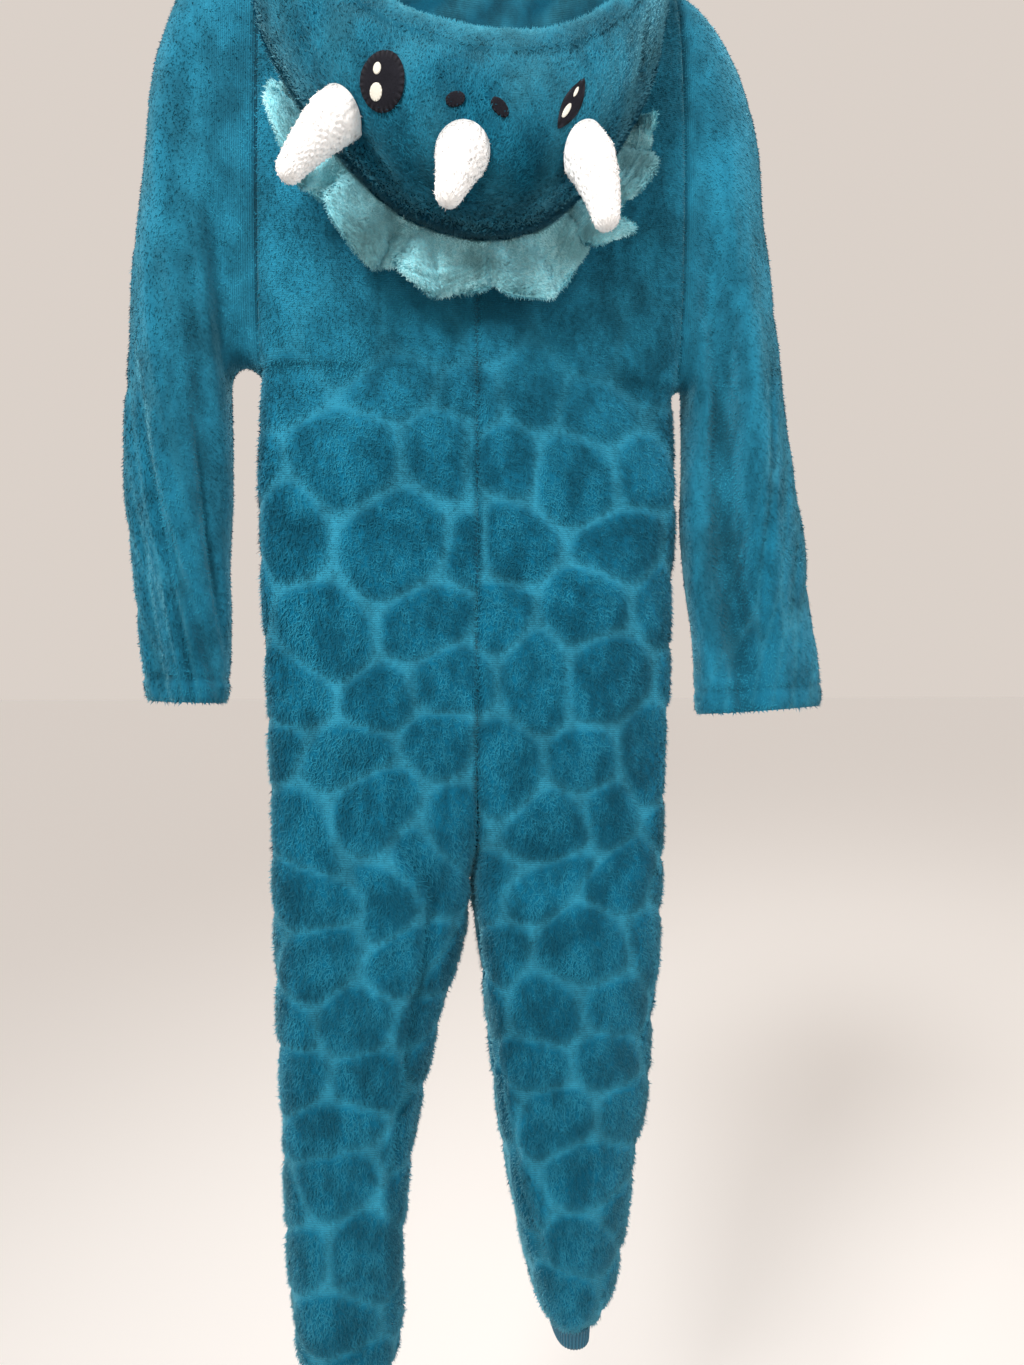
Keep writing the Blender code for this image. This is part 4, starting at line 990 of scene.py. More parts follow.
# Pile: straight blades that lean along the nap

pile = {
    "length": 0.0046,
    "width": 0.0011,
    "lean": 1.12,
    "spread": 0.75,
    "uneven": 0.35,
    "bareLength": 0.45,
    "root": 0.0004,
    "sink": 0.0013,
}


def growPile(name, points, normals, wrap, tone, count, seed, finish, weight=None, length=1.0):
    # Each blade is one triangle. Its root is at a random place on a face of the grid, chosen by the face's
    # area and weight. Its tip leans from the normal down the cloth, turned by a random swing. It is shorter
    # where the tone is low.
    random = np.random.default_rng(seed)
    if wrap:
        points, normals, tone = (
            np.concatenate([grid, grid[:, :1]], axis=1) for grid in (points, normals, tone)
        )
    a, b, c, d = points[:-1, :-1], points[:-1, 1:], points[1:, 1:], points[1:, :-1]
    area = np.linalg.norm(np.cross(c - a, d - b), axis=-1)
    if weight is not None:
        area = area * (weight[:-1, :-1] + weight[1:, 1:]) / 2
    chance = np.cumsum(area.ravel())
    pick = np.searchsorted(chance, random.random(count) * chance[-1])
    r, k = np.unravel_index(np.minimum(pick, area.size - 1), area.shape)
    s, t = random.random((2, count))
    normal = unit(readGrid(normals, r + s, k + t))
    rootTone = readGrid(tone, r + s, k + t)
    down = unit(points[r + 1, k] - points[r, k])
    down = unit(down - normal * np.sum(down * normal, axis=1, keepdims=True))
    across = np.cross(normal, down)
    swing = random.normal(0.0, pile["spread"], count)[:, None]
    lean = (pile["lean"] + random.normal(0.0, 0.18, count))[:, None]
    way = normal * np.cos(lean) + (down * np.cos(swing) + across * np.sin(swing)) * np.sin(lean)
    long = pile["length"] * length * (1 - pile["uneven"] + 2 * pile["uneven"] * random.random(count))
    long = long * (pile["bareLength"] + (1 - pile["bareLength"]) * rootTone)
    root = readGrid(points, r + s, k + t) - normal * pile["root"]
    half = unit(np.cross(way, normal)) * (pile["width"] * (0.7 + 0.6 * random.random(count)) / 2)[:, None]
    tip = root + way * long[:, None]
    corners = np.stack([root - half, root + half, tip], axis=1)
    facing = np.sum(np.cross(2 * half, tip - root + half) * normal, axis=1) < 0
    corners[facing] = corners[facing][:, [1, 0, 2]]
    values = {
        "tone": np.repeat(rootTone + random.normal(0.0, 0.10, count), 3),
        "tip": np.tile([0.15, 0.15, 1.0], count),
    }
    shading = unit(np.repeat(normal + 0.35 * way, 3, axis=0))
    return bladePiece(name, corners.reshape(-1, 3), finish, values, shading)


def bladePiece(name, corners, finish, values, shading):
    # Separate triangles. shading is the direction each corner is lit by, near the cloth's own normal.
    mesh = bpy.data.meshes.new(name)
    count = len(corners)
    mesh.vertices.add(count)
    mesh.vertices.foreach_set("co", corners.astype(np.float32).ravel())
    mesh.loops.add(count)
    mesh.loops.foreach_set("vertex_index", np.arange(count, dtype=np.int32))
    mesh.polygons.add(count // 3)
    mesh.polygons.foreach_set("loop_start", np.arange(0, count, 3, dtype=np.int32))
    mesh.update(calc_edges=True)
    for label, numbers in values.items():
        made = mesh.attributes.new(label, "FLOAT", "POINT")
        made.data.foreach_set("value", np.asarray(numbers, np.float32))
    mesh.shade_smooth()
    mesh.normals_split_custom_set_from_vertices(shading.tolist())
    mesh.materials.append(finish)
    piece = bpy.data.objects.new(name, mesh)
    bpy.context.scene.collection.objects.link(piece)
    return piece


# Body panels

panels = {
    "spacing": 0.0043,
    "fadeFrom": 0.34,
    "fadeTo": 0.54,
    "faint": 0.12,
    "undulation": 0.0012,
    "undulationSize": 0.11,
    # above this drop the back lies flatter, under the hood
    "underHood": 0.42,
    "underTape": 0.0003,
    "blades": {"back": 107000, "front": 41000},
    "seeds": {"back_left": 11, "back_right": 23, "front_left": 37, "front_right": 41},
    # start and end (distance from the centre seam, drop), depth (a ridge is below 0), half width, bow
    "creases": {
        "back_left": (
            ((0.070, 0.400), (0.135, 0.455), 0.0030, 0.010, 0.006),
            ((0.060, 0.830), (0.140, 0.880), 0.0026, 0.009, 0.004),
            ((0.072, 0.660), (0.034, 1.100), -0.0036, 0.0055, -0.009),
            ((0.061, 0.680), (0.025, 1.100), 0.0042, 0.0075, -0.009),
            ((0.120, 0.920), (0.060, 0.960), 0.0022, 0.009, 0.003),
            ((0.130, 0.560), (0.122, 0.900), 0.0022, 0.012, 0.005),
            ((0.020, 0.700), (0.060, 0.820), 0.0026, 0.010, -0.004),
        ),
        "back_right": (
            ((0.080, 0.390), (0.140, 0.440), 0.0026, 0.010, 0.005),
            ((0.030, 0.840), (0.120, 0.895), 0.0026, 0.010, -0.005),
            ((0.014, 0.880), (0.040, 1.110), 0.0048, 0.0075, 0.004),
            ((0.026, 0.880), (0.054, 1.100), -0.0030, 0.0065, 0.004),
            ((0.100, 1.000), (0.040, 1.030), 0.0024, 0.009, 0.003),
            ((0.126, 0.600), (0.120, 0.860), 0.0022, 0.012, -0.005),
            ((0.022, 0.690), (0.070, 0.810), 0.0024, 0.010, 0.004),
        ),
        "front_left": (
            ((0.060, 0.410), (0.130, 0.470), 0.0030, 0.011, 0.006),
            ((0.050, 0.800), (0.130, 0.860), 0.0024, 0.009, 0.004),
            ((0.070, 0.900), (0.080, 1.080), 0.0028, 0.009, -0.005),
        ),
        "front_right": (
            ((0.070, 0.400), (0.130, 0.450), 0.0028, 0.010, 0.005),
            ((0.040, 0.820), (0.120, 0.870), 0.0022, 0.010, -0.004),
            ((0.060, 0.940), (0.070, 1.100), 0.0026, 0.009, 0.004),
        ),
    },
}
# The zip's lower end, as a drop
zipEnd = 0.640
# Painted shade makes the pile darker in a trough, and painted light makes it lighter on a ridge, by this much a
# metre
creaseShade = -130.0


def fineGrid(name, rowAt, columnAt):
    # A cage's smooth surface and its normals, at fractions of the cage's rows and columns.
    cage = cages[name]
    points = refine(cage["points"], rowAt, columnAt, cage["wrap"])
    normals = unit(refine(cage["normals"], rowAt, columnAt, cage["wrap"]))
    return points, normals


def makePanel(word, side):
    # A body panel: the cage's surface raised by the scales, by a slow noise and by its creases, and dented
    # along its seams. The pattern is laid out by the drop and by the distance from the centre seam.
    name = f"{word}_{side}"
    backPoints = cages[f"back_{side}"]["points"]
    rowAt = evenSteps(backPoints, 0, panels["spacing"])
    columnAt = evenSteps(backPoints[body["armSteps"]:], 1, panels["spacing"])
    points, normals = fineGrid(name, rowAt, columnAt)
    fromSide = lengthsAlong(points, 1)
    fromCentre = fromSide[:, -1:] - fromSide
    drop = -points[..., 2]
    seed = panels["seeds"][name]
    scaleDrop = drop + scales["flatter"] * np.maximum(drop - body["crotchDrop"], 0.0)
    mask, dome = scaleCells(fromCentre + seed, scaleDrop, seed)
    faint = panels["faint"]
    strength = faint + (1 - faint) * smoothStep(drop, panels["fadeFrom"], panels["fadeTo"])
    tone = scales["faintTone"] + (mask - scales["faintTone"]) * strength
    fromTop = lengthsAlong(points, 0)
    fromEnd = fromTop[-1:] - fromTop
    toSeam = np.minimum(np.minimum(fromSide, fromCentre), np.minimum(fromTop, fromEnd))
    raised, sunk = scales["raised"], scales["sunk"]
    rise = strength * ((raised * 0.7 + sunk) * mask + raised * 0.3 * dome) - sunk
    uneven = softNoise(fromCentre, drop, panels["undulationSize"], seed + 5)
    rise = rise + panels["undulation"] * uneven * smoothStep(toSeam, 0.0, 0.03)
    folds = sum(crease(fromCentre, drop, *fold) for fold in panels["creases"][name])
    rise = rise + folds
    # The seam value holds the seam lines, painted shade in the creases' troughs and painted light on their
    # ridges
    seam = seamMark(toSeam) + creaseShade * folds
    underZip = 0.0
    if word == "front":
        beside = smoothStep(fromCentre, 0.013, 0.019)
        underZip = (1 - beside) * (1 - smoothStep(drop, zipEnd, zipEnd + 0.008))
    rise = rise * smoothStep(toSeam, -0.001, 0.006) + seamDip(toSeam)
    rise = rise * (1 - underZip) - panels["underTape"] * underZip
    clear = 1 - smoothStep(panels["underHood"] - drop, 0.0, 0.02) if word == "back" else 1.0
    rise = np.where(rise > 0, rise * np.maximum(clear, 0.35), rise) - pile["sink"] * (1 - underZip)
    values = {"tone": tone, "seam": seam, "tip": np.zeros_like(tone)}
    finish = finishes["body"]
    piece = wall(f"{name}_cloth", points, normals, rise, cloth, False, finish, values, fromCentre, drop)
    outer = points + normals * rise[..., None]
    blades = panels["blades"][word]
    weight = (1 - underZip) * np.ones_like(tone)
    return piece, [growPile(f"{name}_pile", outer, normals, False, tone, blades, seed + 7, finish, weight)]


sleeveFinish = {
    "spacing": 0.0045,
    "girthOverlap": (0.86, 0.98),
    "faint": 0.10,
    "clear": 0.55,
    "fadeFrom": 0.16,
    "fadeTo": 0.36,
    "dome": 0.0006,
    "undulation": 0.0010,
    "undulationSize": 0.09,
    "hem": 0.018,
    "hemSoft": 0.004,
    "hemThick": 0.0012,
    "creaseUnit": 0.5,
    "blades": 51000,
    "pileLength": 0.85,
    "seeds": {"left": 53, "right": 67},
}
# Start and end (share of the girth from the outer edge by the back, half metres down from the armhole), depth
# (a ridge is below 0), half width, bow
sleeveCreases = {
    "left": (
        ((0.10, 0.62), (0.34, 0.78), 0.0040, 0.030, 0.02),
        ((0.40, 0.52), (0.16, 0.70), 0.0034, 0.026, -0.02),
        ((0.30, 0.30), (0.44, 0.48), 0.0034, 0.024, 0.01),
        ((0.10, 0.02), (0.16, 0.60), -0.0042, 0.055, 0.02),
        ((0.30, 0.10), (0.36, 0.50), 0.0036, 0.045, -0.02),
        ((0.62, 0.40), (0.84, 0.62), 0.0036, 0.028, 0.02),
        ((0.88, 0.70), (0.66, 0.86), 0.0030, 0.026, -0.02),
    ),
    "right": (
        ((0.36, 0.06), (0.34, 1.00), 0.0076, 0.046, 0.02),
        ((0.12, 0.50), (0.28, 0.66), 0.0030, 0.026, 0.02),
        ((0.21, 0.16), (0.17, 0.90), -0.0040, 0.045, -0.02),
        ((0.44, 0.60), (0.40, 0.92), 0.0030, 0.020, 0.01),
        ((0.60, 0.34), (0.80, 0.58), 0.0036, 0.028, -0.02),
        ((0.86, 0.62), (0.64, 0.80), 0.0030, 0.026, 0.02),
    ),
}


def makeSleeve(side):
    # A rolled cloth, raised in the same way, with a turned hem at the wrist. Where the roll closes, the pattern
    # is mixed with the same one a girth further round.
    name = f"sleeve_{side}"
    cage = cages[name]["points"]
    rowAt = evenSteps(cage, 0, sleeveFinish["spacing"])
    columnAt = evenSteps(cage, 1, sleeveFinish["spacing"], True)
    points, normals = fineGrid(name, rowAt, columnAt)
    around = lengthsAlong(np.concatenate([points, points[:, :1]], axis=1), 1)
    period = around[:, -1].mean()
    around = around[:, :-1] / around[:, -1:] * period
    along = lengthsAlong(points, 0)
    toEnd = along[-1:] - along
    seed = sleeveFinish["seeds"][side]
    mask, dome = scaleCells(around + seed, along, seed)
    other, otherDome = scaleCells(around + seed - period, along, seed)
    share = smoothStep(around / period, *sleeveFinish["girthOverlap"])
    mask, dome = mask + (other - mask) * share, dome + (otherDome - dome) * share
    fade = smoothStep(along, sleeveFinish["fadeFrom"], sleeveFinish["fadeTo"])
    strength = sleeveFinish["faint"] + (sleeveFinish["clear"] - sleeveFinish["faint"]) * fade
    tone = scales["faintTone"] + (mask - scales["faintTone"]) * strength
    uneven = softNoise(around, along, sleeveFinish["undulationSize"], seed + 5)
    rise = strength * (scales["raised"] * mask + sleeveFinish["dome"] * dome)
    rise = rise + sleeveFinish["undulation"] * uneven
    rise = rise * smoothStep(along, -0.001, 0.008) + seamDip(along)
    hemLine = toEnd - sleeveFinish["hem"]
    inHem = smoothStep(-hemLine, 0.0, sleeveFinish["hemSoft"])
    rise = rise + seamDip(hemLine, 0.0009, 0.0020) + 0.0008 * inHem + seamDip(toEnd, 0.0016, 0.0018)
    thick = cloth + sleeveFinish["hemThick"] * inHem
    folds = sum(
        crease(around / period, along / sleeveFinish["creaseUnit"], *fold) for fold in sleeveCreases[side]
    )
    rise = rise + folds - pile["sink"]
    # The seam value holds the seam lines, painted shade in the creases' troughs and painted light on their
    # ridges
    seam = seamMark(along) + 0.6 * seamMark(hemLine) + creaseShade * folds
    values = {"tone": tone, "seam": seam, "tip": np.zeros_like(tone)}
    finish = finishes["body"]
    piece = wall(f"{name}_cloth", points, normals, rise, thick, True, finish, values, around, along)
    outer = points + normals * rise[..., None]
    fur = growPile(
        f"{name}_pile", outer, normals, True, tone, sleeveFinish["blades"], seed + 7, finish, None,
        sleeveFinish["pileLength"],
    )
    return piece, [fur]


cuffs = {
    "length": 0.016,
    "taper": 0.90,
    "rows": 14,
    "ribs": 52,
    "ribDepth": 0.0008,
    "edge": 0.0012,
    "edgeDepth": 0.0010,
    "lift": 0.0004,
}


def makeCuff(side):
    # The leg's last ring carried down and drawn in, with a cosine of the turn for its ribs.
    name = f"leg_cuff_{side}"
    back, front = (cages[f"{word}_{side}"]["points"][-1] for word in ("back", "front"))
    ring = np.concatenate([back, front[1:-1][::-1]])[None]
    per = 6 * cuffs["ribs"]
    place = np.linspace(0, ring.shape[1], per, endpoint=False)
    closed = refine(np.repeat(ring, 2, 0), np.array([0.0]), place, True)[0]
    loop = np.concatenate([closed, closed[:1]])
    run = np.concatenate([[0.0], np.cumsum(np.linalg.norm(np.diff(loop, axis=0), axis=1))])
    even = np.linspace(0.0, run[-1], per, endpoint=False)
    closed = np.stack([np.interp(even, run, loop[:, i]) for i in range(3)], -1)
    centre = closed.mean(axis=0)
    at = np.linspace(0.0, 1.0, cuffs["rows"])[:, None, None]
    shrink = 1 - (1 - cuffs["taper"]) * np.sqrt(at)
    points = centre + (closed - centre) * shrink - np.array([0.0, 0.0, cuffs["length"]]) * at
    points = points + np.array([0.0, 0.0, cuffs["lift"]])
    normals = unit(gridNormals(points, True, (-signs[side], 0, 0)))
    outward = np.sum(normals * (points - centre) * (1, 1, 0), axis=-1).mean()
    normals = normals if outward > 0 else -normals
    turn = np.linspace(0, 2 * math.pi * cuffs["ribs"], per, endpoint=False)[None]
    ribs = np.cos(turn) * np.ones((cuffs["rows"], 1))
    toEnd = (1 - at[..., 0]) * cuffs["length"]
    rise = cuffs["ribDepth"] * (ribs - 1) / 2 + seamDip(toEnd, cuffs["edgeDepth"], cuffs["edge"])
    down = np.broadcast_to(at[..., 0] * cuffs["length"], ribs.shape)
    # The tone follows the ribs, so the knit is darker in their hollows: painted shade
    values = {"tone": 0.5 + 0.5 * ribs}
    across = np.broadcast_to(even, ribs.shape)
    return wall(f"{name}_knit", points, normals, rise, cloth, True, finishes["knit"], values, across, down)


# The cloth pieces, and the pile that goes with each
sheets, furs = {}, {}
for side in signs:
    for word in ("back", "front"):
        sheets[f"{word}_{side}"], furs[f"{word}_{side}"] = makePanel(word, side)
    sheets[f"sleeve_{side}"], furs[f"sleeve_{side}"] = makeSleeve(side)
    sheets[f"leg_cuff_{side}"] = makeCuff(side)
print("body, sleeves and cuffs made")


# Hood

hoodFinish = {
    "spacing": 0.0045,
    "perRow": 7,
    "perColumn": 5,
    "undulation": 0.0010,
    "hemRaised": 0.0010,
    # A band along the brim lightened as a painted highlight on the rolled edge
    "brimHighlight": 0.75,
    "blades": {"hood_face": 57000, "hood_back": 19000},
    # Painted shade over the whole hood back, the hood's inside
    "liningShade": 0.9,
    # start and end (half step round the neck, row from crown seam to brim), depth, half width and bow, the
    # last two in those steps and rows
    "creases": (
        ((16.3, 2.6), (17.6, 1.1), 0.0045, 0.45, 0.10),
        ((23.6, 2.4), (21.6, 0.9), 0.0050, 0.45, -0.10),
        ((18.2, 5.9), (21.5, 5.7), -0.0015, 0.60, 0.10),
        ((13.6, 5.5), (15.2, 3.0), 0.0030, 0.40, 0.10),
        ((25.4, 6.6), (24.6, 3.4), 0.0040, 0.35, 0.05),
        ((17.6, 3.4), (18.6, 2.0), 0.0020, 0.30, 0.05),
    ),
}


def makeHood():
    # Both hood pieces: the cages' surfaces with a slow noise, and on the face its creases and the brim's hem.
    made = {}
    perRow, perColumn = hoodFinish["perRow"], hoodFinish["perColumn"]
    for name in ("hood_back", "hood_face"):
        rows, columns = cages[name]["points"].shape[:2]
        steps = np.linspace(0, columns - 1, (columns - 1) * perColumn + 1)
        if name == "hood_back":
            rowAt = evenSteps(cages[name]["points"][:, 12:29], 0, hoodFinish["spacing"])
        else:
            rowAt = np.linspace(0, rows - 1, (rows - 1) * perRow + 1)
        points, normals = fineGrid(name, rowAt, steps)
        across, down = lengthsAlong(points, 1), lengthsAlong(points, 0)
        fromEnd = down[-1:] - down
        inner = smoothStep(np.minimum(down, fromEnd), 0.0, 0.02)
        rise = hoodFinish["undulation"] * softNoise(across, down, 0.07, 91) * inner + seamDip(down)
        seam = seamMark(down)
        tone = 0.80 + 0.20 * softNoise(across, down, 0.05, 97)
        if name == "hood_face":
            # A band along the brim takes the lighter line colour: a painted highlight on the rolled edge
            tone = tone - hoodFinish["brimHighlight"] * seamMark(fromEnd, 0.009)
            r, c = np.meshgrid(rowAt, steps, indexing="ij")
            for start, end, depth, halfWidth, bend in hoodFinish["creases"]:
                rise = rise + crease(c, r, start, end, depth, halfWidth, bend)
            hemLine = fromEnd - hood["hem"]
            rise = rise + seamDip(hemLine, 0.0022, 0.0028) + seamDip(fromEnd, 0.0016, 0.0020)
            rise = rise + hoodFinish["hemRaised"] * smoothStep(-hemLine, 0.0, 0.006)
            seam = seam + 0.8 * seamMark(hemLine, 0.0022)
        else:
            rise = rise * 0.4 + seamDip(fromEnd)
            # The lining shade darkens the whole piece: painted shade on the hood's inside
            seam = seam + seamMark(fromEnd) + hoodFinish["liningShade"]
        rise = rise - pile["sink"]
        values = {"tone": tone, "seam": seam, "tip": np.zeros_like(tone)}
        finish = finishes["hood"]
        sheets[name] = wall(
            f"{name}_cloth", points, normals, rise, cloth, False, finish, values, across, down
        )
        outer = points + normals * rise[..., None]
        made[name] = {"cut": points, "outer": outer, "normals": normals, "tone": tone}
    return made


hoodGrids = makeHood()
print("hood made")


class Patch:
    # The hood's face read at any place: row and column are the cage's, and lift goes out along the normal.
    def __init__(self, points, normals, perRow, perColumn):
        self.points, self.normals = points, normals
        self.scale = (perRow, perColumn)

    def read(self, grid, row, column):
        return readGrid(grid, np.asarray(row) * self.scale[0], np.asarray(column) * self.scale[1])

    def at(self, row, column, lift=0.0):
        lift = np.asarray(lift, float)[..., None]
        return self.read(self.points, row, column) + unit(self.read(self.normals, row, column)) * lift

    def waysAt(self, row, column):
        # The way to the right, the way down and the normal at one place, and cage steps for each metre.
        step = 0.05
        along = (self.at(row, column + step) - self.at(row, column - step)) / (2 * step)
        up = (self.at(row + step, column) - self.at(row - step, column)) / (2 * step)
        normal = unit(self.read(self.normals, row, column))
        right = unit(along)
        down = unit(np.cross(right, normal))
        down = down * (-1.0 if down[2] > 0 else 1.0)
        steps = [[np.dot(up, right), np.dot(along, right)], [np.dot(up, down), np.dot(along, down)]]
        return right, down, normal, np.linalg.inv(np.array(steps))

    def oval(self, row, column, halfWidth, halfHeight, turn, share, angle, lift):
        # Points of an oval drawn on the cloth: share and angle are its polar grid, and sizes are in metres.
        *_, solve = self.waysAt(row, column)
        across, down = halfWidth * share * np.cos(angle), halfHeight * share * np.sin(angle)
        moves = np.stack(turned(across, down, turn), -1) @ solve.T
        return self.at(row + moves[..., 0], column + moves[..., 1], lift)


faceGrid = hoodGrids["hood_face"]
facePatch = Patch(faceGrid["outer"], faceGrid["normals"], hoodFinish["perRow"], hoodFinish["perColumn"])
faceRows = hood["faceRows"]

faceFelt = {
    # step round the neck, share of the way from crown seam to brim, half width, half height, tilt
    "eyes": {"left": (8.48, 0.623, 0.0140, 0.0172, -28.0), "right": (10.93, 0.658, 0.0058, 0.0190, 56.0)},
    "pointed": {"left": 0.0, "right": 0.50},
    # place to the right and down as shares of the eye, width and height as shares of it
    "shines": ((-0.24, -0.40, 0.17, 0.20), (-0.22, 0.34, 0.28, 0.28)),
    "nostrils": {"left": (9.38, 0.678, 0.0062, 0.0044, -25.0), "right": (9.92, 0.671, 0.0068, 0.0042, 42.0)},
    "thick": 0.0012,
    "lift": 0.0012,
    "stitches": 1.0e-3,
}


def feltOval(name, row, column, halfWidth, halfHeight, turn, lift, thick, finish, rings, sides, pointed=0.0):
    # A disc in polar steps with a rounded edge: its top rises by (1 - share^6)^0.5 of its thickness, and its
    # underside is flat. pointed narrows it towards its ends by that share of the sine of the angle, squared.
    share = np.sin(np.linspace(0.06, 1.0, rings) * math.pi / 2)[:, None]
    angle = np.linspace(0, 2 * math.pi, sides, endpoint=False)[None]
    flat = np.ones_like(angle)
    halfWidth = halfWidth * (1 - pointed * np.sin(angle) ** 2)
    top = lift + thick * (0.25 + 0.75 * np.sqrt(1 - np.minimum(share, 0.9999) ** 6)) * flat
    low = np.array([[1.0], [0.5], [0.06]])
    place = (row, column, halfWidth, halfHeight, turn)
    over, under = (
        facePatch.oval(*place, part * flat, angle * np.ones_like(part), high)
        for part, high in ((share, top), (low, lift * np.ones((3, sides))))
    )
    rim = np.concatenate([smoothStep(share, 0.80, 0.90) * flat, np.ones((3, sides))])
    count = round(math.pi * (halfWidth.max() + halfHeight) / faceFelt["stitches"])
    stitch = np.sin(angle * count) * np.ones_like(rim)
    return closedRings(name, np.concatenate([over, under]), finish, {"rim": rim, "stitch": stitch})


def makeFace():
    # The eyes with their shines, and the nostrils, lie on the hood's face.
    made = []
    lift, thick = faceFelt["lift"], faceFelt["thick"]
    for side, (step, share, wide, tall, turn) in faceFelt["eyes"].items():
        row, column = share * faceRows, step * 2
        eye = feltOval(
            f"eye_{side}_felt", row, column, wide, tall, turn, lift, thick, finishes["black"], 9, 72,
            faceFelt["pointed"][side],
        )
        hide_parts(f"eye_{side}")
        made.append(eye)
        *_, solve = facePatch.waysAt(row, column)
        for number, (right, down, wideShare, tallShare) in enumerate(faceFelt["shines"], 1):
            move = solve @ np.array(turned(right * wide, down * tall, turn))
            shine = feltOval(
                f"eye_shine_{side}_{number}_felt", row + move[0], column + move[1],
                wide * wideShare, tall * tallShare, turn, lift + thick, thick / 2, finishes["white"], 6, 40,
            )
            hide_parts(f"eye_shine_{side}_{number}")
            made.append(shine)
    for side, (step, share, wide, tall, turn) in faceFelt["nostrils"].items():
        nostril = feltOval(
            f"nostril_{side}_felt", share * faceRows, step * 2, wide, tall, turn, 2 * lieGap, thick,
            finishes["black"], 7, 48,
        )
        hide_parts(f"nostril_{side}")
        made.append(nostril)
    return made


facePieces = makeFace()


def hoodPile():
    # No blade grows under a felt: there the weight of the cloth falls to 0 inside the oval round it.
    weight = np.ones(faceGrid["tone"].shape)
    for step, share, wide, tall, turn in (*faceFelt["eyes"].values(), *faceFelt["nostrils"].values()):
        row, column = share * faceRows, step * 2
        right, down, normal, _ = facePatch.waysAt(row, column)
        off = faceGrid["outer"] - facePatch.at(row, column)
        wayAcross, wayAlong = turned(right, down, -turn)
        far = np.hypot(off @ wayAcross / wide, off @ wayAlong / tall)
        far = far + 100 * np.maximum(np.abs(off @ normal) - 0.02, 0.0)
        weight = weight * smoothStep(far, 0.92, 1.12)
    for name, shares in (("hood_face", weight), ("hood_back", None)):
        grid, blades = hoodGrids[name], hoodFinish["blades"][name]
        furs[name] = [growPile(
            f"{name}_pile", grid["outer"], grid["normals"], False, grid["tone"], blades, 99, finishes["hood"],
            shares,
        )]


hoodPile()


# Horns

horns = {
    # step round the neck, share, base radius, tip radius, length, way that the tip points, droop
    "left": (8.12, 0.345, 0.0178, 0.0088, 0.057, (-0.56, -0.22, -0.80), 0.004),
    "middle": (9.56, 0.480, 0.0176, 0.0084, 0.049, (-0.28, -0.50, -0.78), 0.005),
    "right": (11.16, 0.430, 0.0184, 0.0088, 0.057, (0.12, -0.30, -0.93), 0.004),
    "rows": 64,
    "sides": 100,
    "footShares": (0.2, 0.55, 0.80, 0.96),
    "footLifts": (0.0012, 0.0012, 0.0012, 0.0022),
    "curl": 0.0006,
    "curlSize": 0.0040,
    "blades": 2400,
    "pileLength": 0.45,
}


def makeHorn(name):
    # A stuffed cone: round sections along a bending centre line, whose radius goes from base to tip and then
    # round the tip.
    step, share, base, tip, length, way, droop = horns[name]
    row, column = share * faceRows, step * 2
    right, down, normal, _ = facePatch.waysAt(row, column)
    angle = np.linspace(0, 2 * math.pi, horns["sides"], endpoint=False)
    flat = np.ones_like(angle)
    low, lift = (np.array(horns[label])[:, None] for label in ("footShares", "footLifts"))
    foot = facePatch.oval(row, column, base, base, 0, low * flat, angle * np.ones_like(low), lift * flat)
    start = facePatch.at(row, column, base * 0.25)
    way = unit(np.array(way))
    bodyLength = length - tip
    at = np.linspace(0.10, 1.0, horns["rows"])
    capTurn = np.linspace(0.12, 1.5, 12)
    out = np.concatenate([bodyLength * at, bodyLength + tip * np.sin(capTurn)])
    radius = np.concatenate([base + (tip - base) * at**0.9, tip * np.cos(capTurn)])
    along = (out / length)[:, None]
    heading = unit(normal * (1 - along) ** 2 * 0.35 + way * (0.3 + along))
    centre = start + (normal * 0.35 * (along - along**2 * 0.8) + way * along * 0.95) * length
    centre = centre - np.array([0.0, 0.0, droop]) * along**2
    first = unit(right - heading * (heading @ right)[:, None])
    second = unit(np.cross(heading, first))
    second = second * np.where(second @ down > 0, 1.0, -1.0)[:, None]
    wave = softNoise(angle[None] * base, out[:, None] * flat, horns["curlSize"], 7 + len(name), 14)
    wave = horns["curl"] * (wave * np.minimum(radius / tip, 1.0)[:, None] - 0.4)
    reach = radius[:, None] + wave
    around = np.cos(angle)[None, :, None] * first[:, None] + np.sin(angle)[None, :, None] * second[:, None]
    rings = np.concatenate([foot, centre[:, None] + reach[..., None] * around])
    piece = closedRings(f"horn_{name}_sherpa", rings, finishes["sherpa"], {"tip": np.zeros(rings.shape[:2])})
    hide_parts(f"horn_{name}")
    normals = gridNormals(rings[3:], True, (0, 0, 0))
    outward = np.sum(normals[1:] * (rings[4:] - centre[:, None]), axis=(1, 2)).mean()
    normals = unit(normals if outward > 0 else -normals)
    fur = growPile(
        f"horn_{name}_pile", rings[3:], normals, True, np.ones(rings[3:].shape[:2]), horns["blades"], 5,
        finishes["sherpa"], None, horns["pileLength"],
    )
    return fur


hornFurs = [makeHorn(name) for name in ("left", "middle", "right")]
print("face made")


# Frill along the crown seam

frill = {
    "start": 6.95,
    "end": 13.0,
    "endWidth": 0.010,
    "width": 0.043,
    "thick": 0.0088,
    "waves": 6.5,
    "wave": 0.0105,
    "gather": 0.0030,
    "gatherPace": 2.45,
    "shadow": 0.6,
    "uneven": (0.026, 0.014),
    "fold": 0.0055,
    "scallop": 0.22,
    "lean": 0.016,
    "gap": 0.0008,
    "columns": 340,
    "rows": 26,
    "blades": 38000,
    "pileLength": 0.72,
}


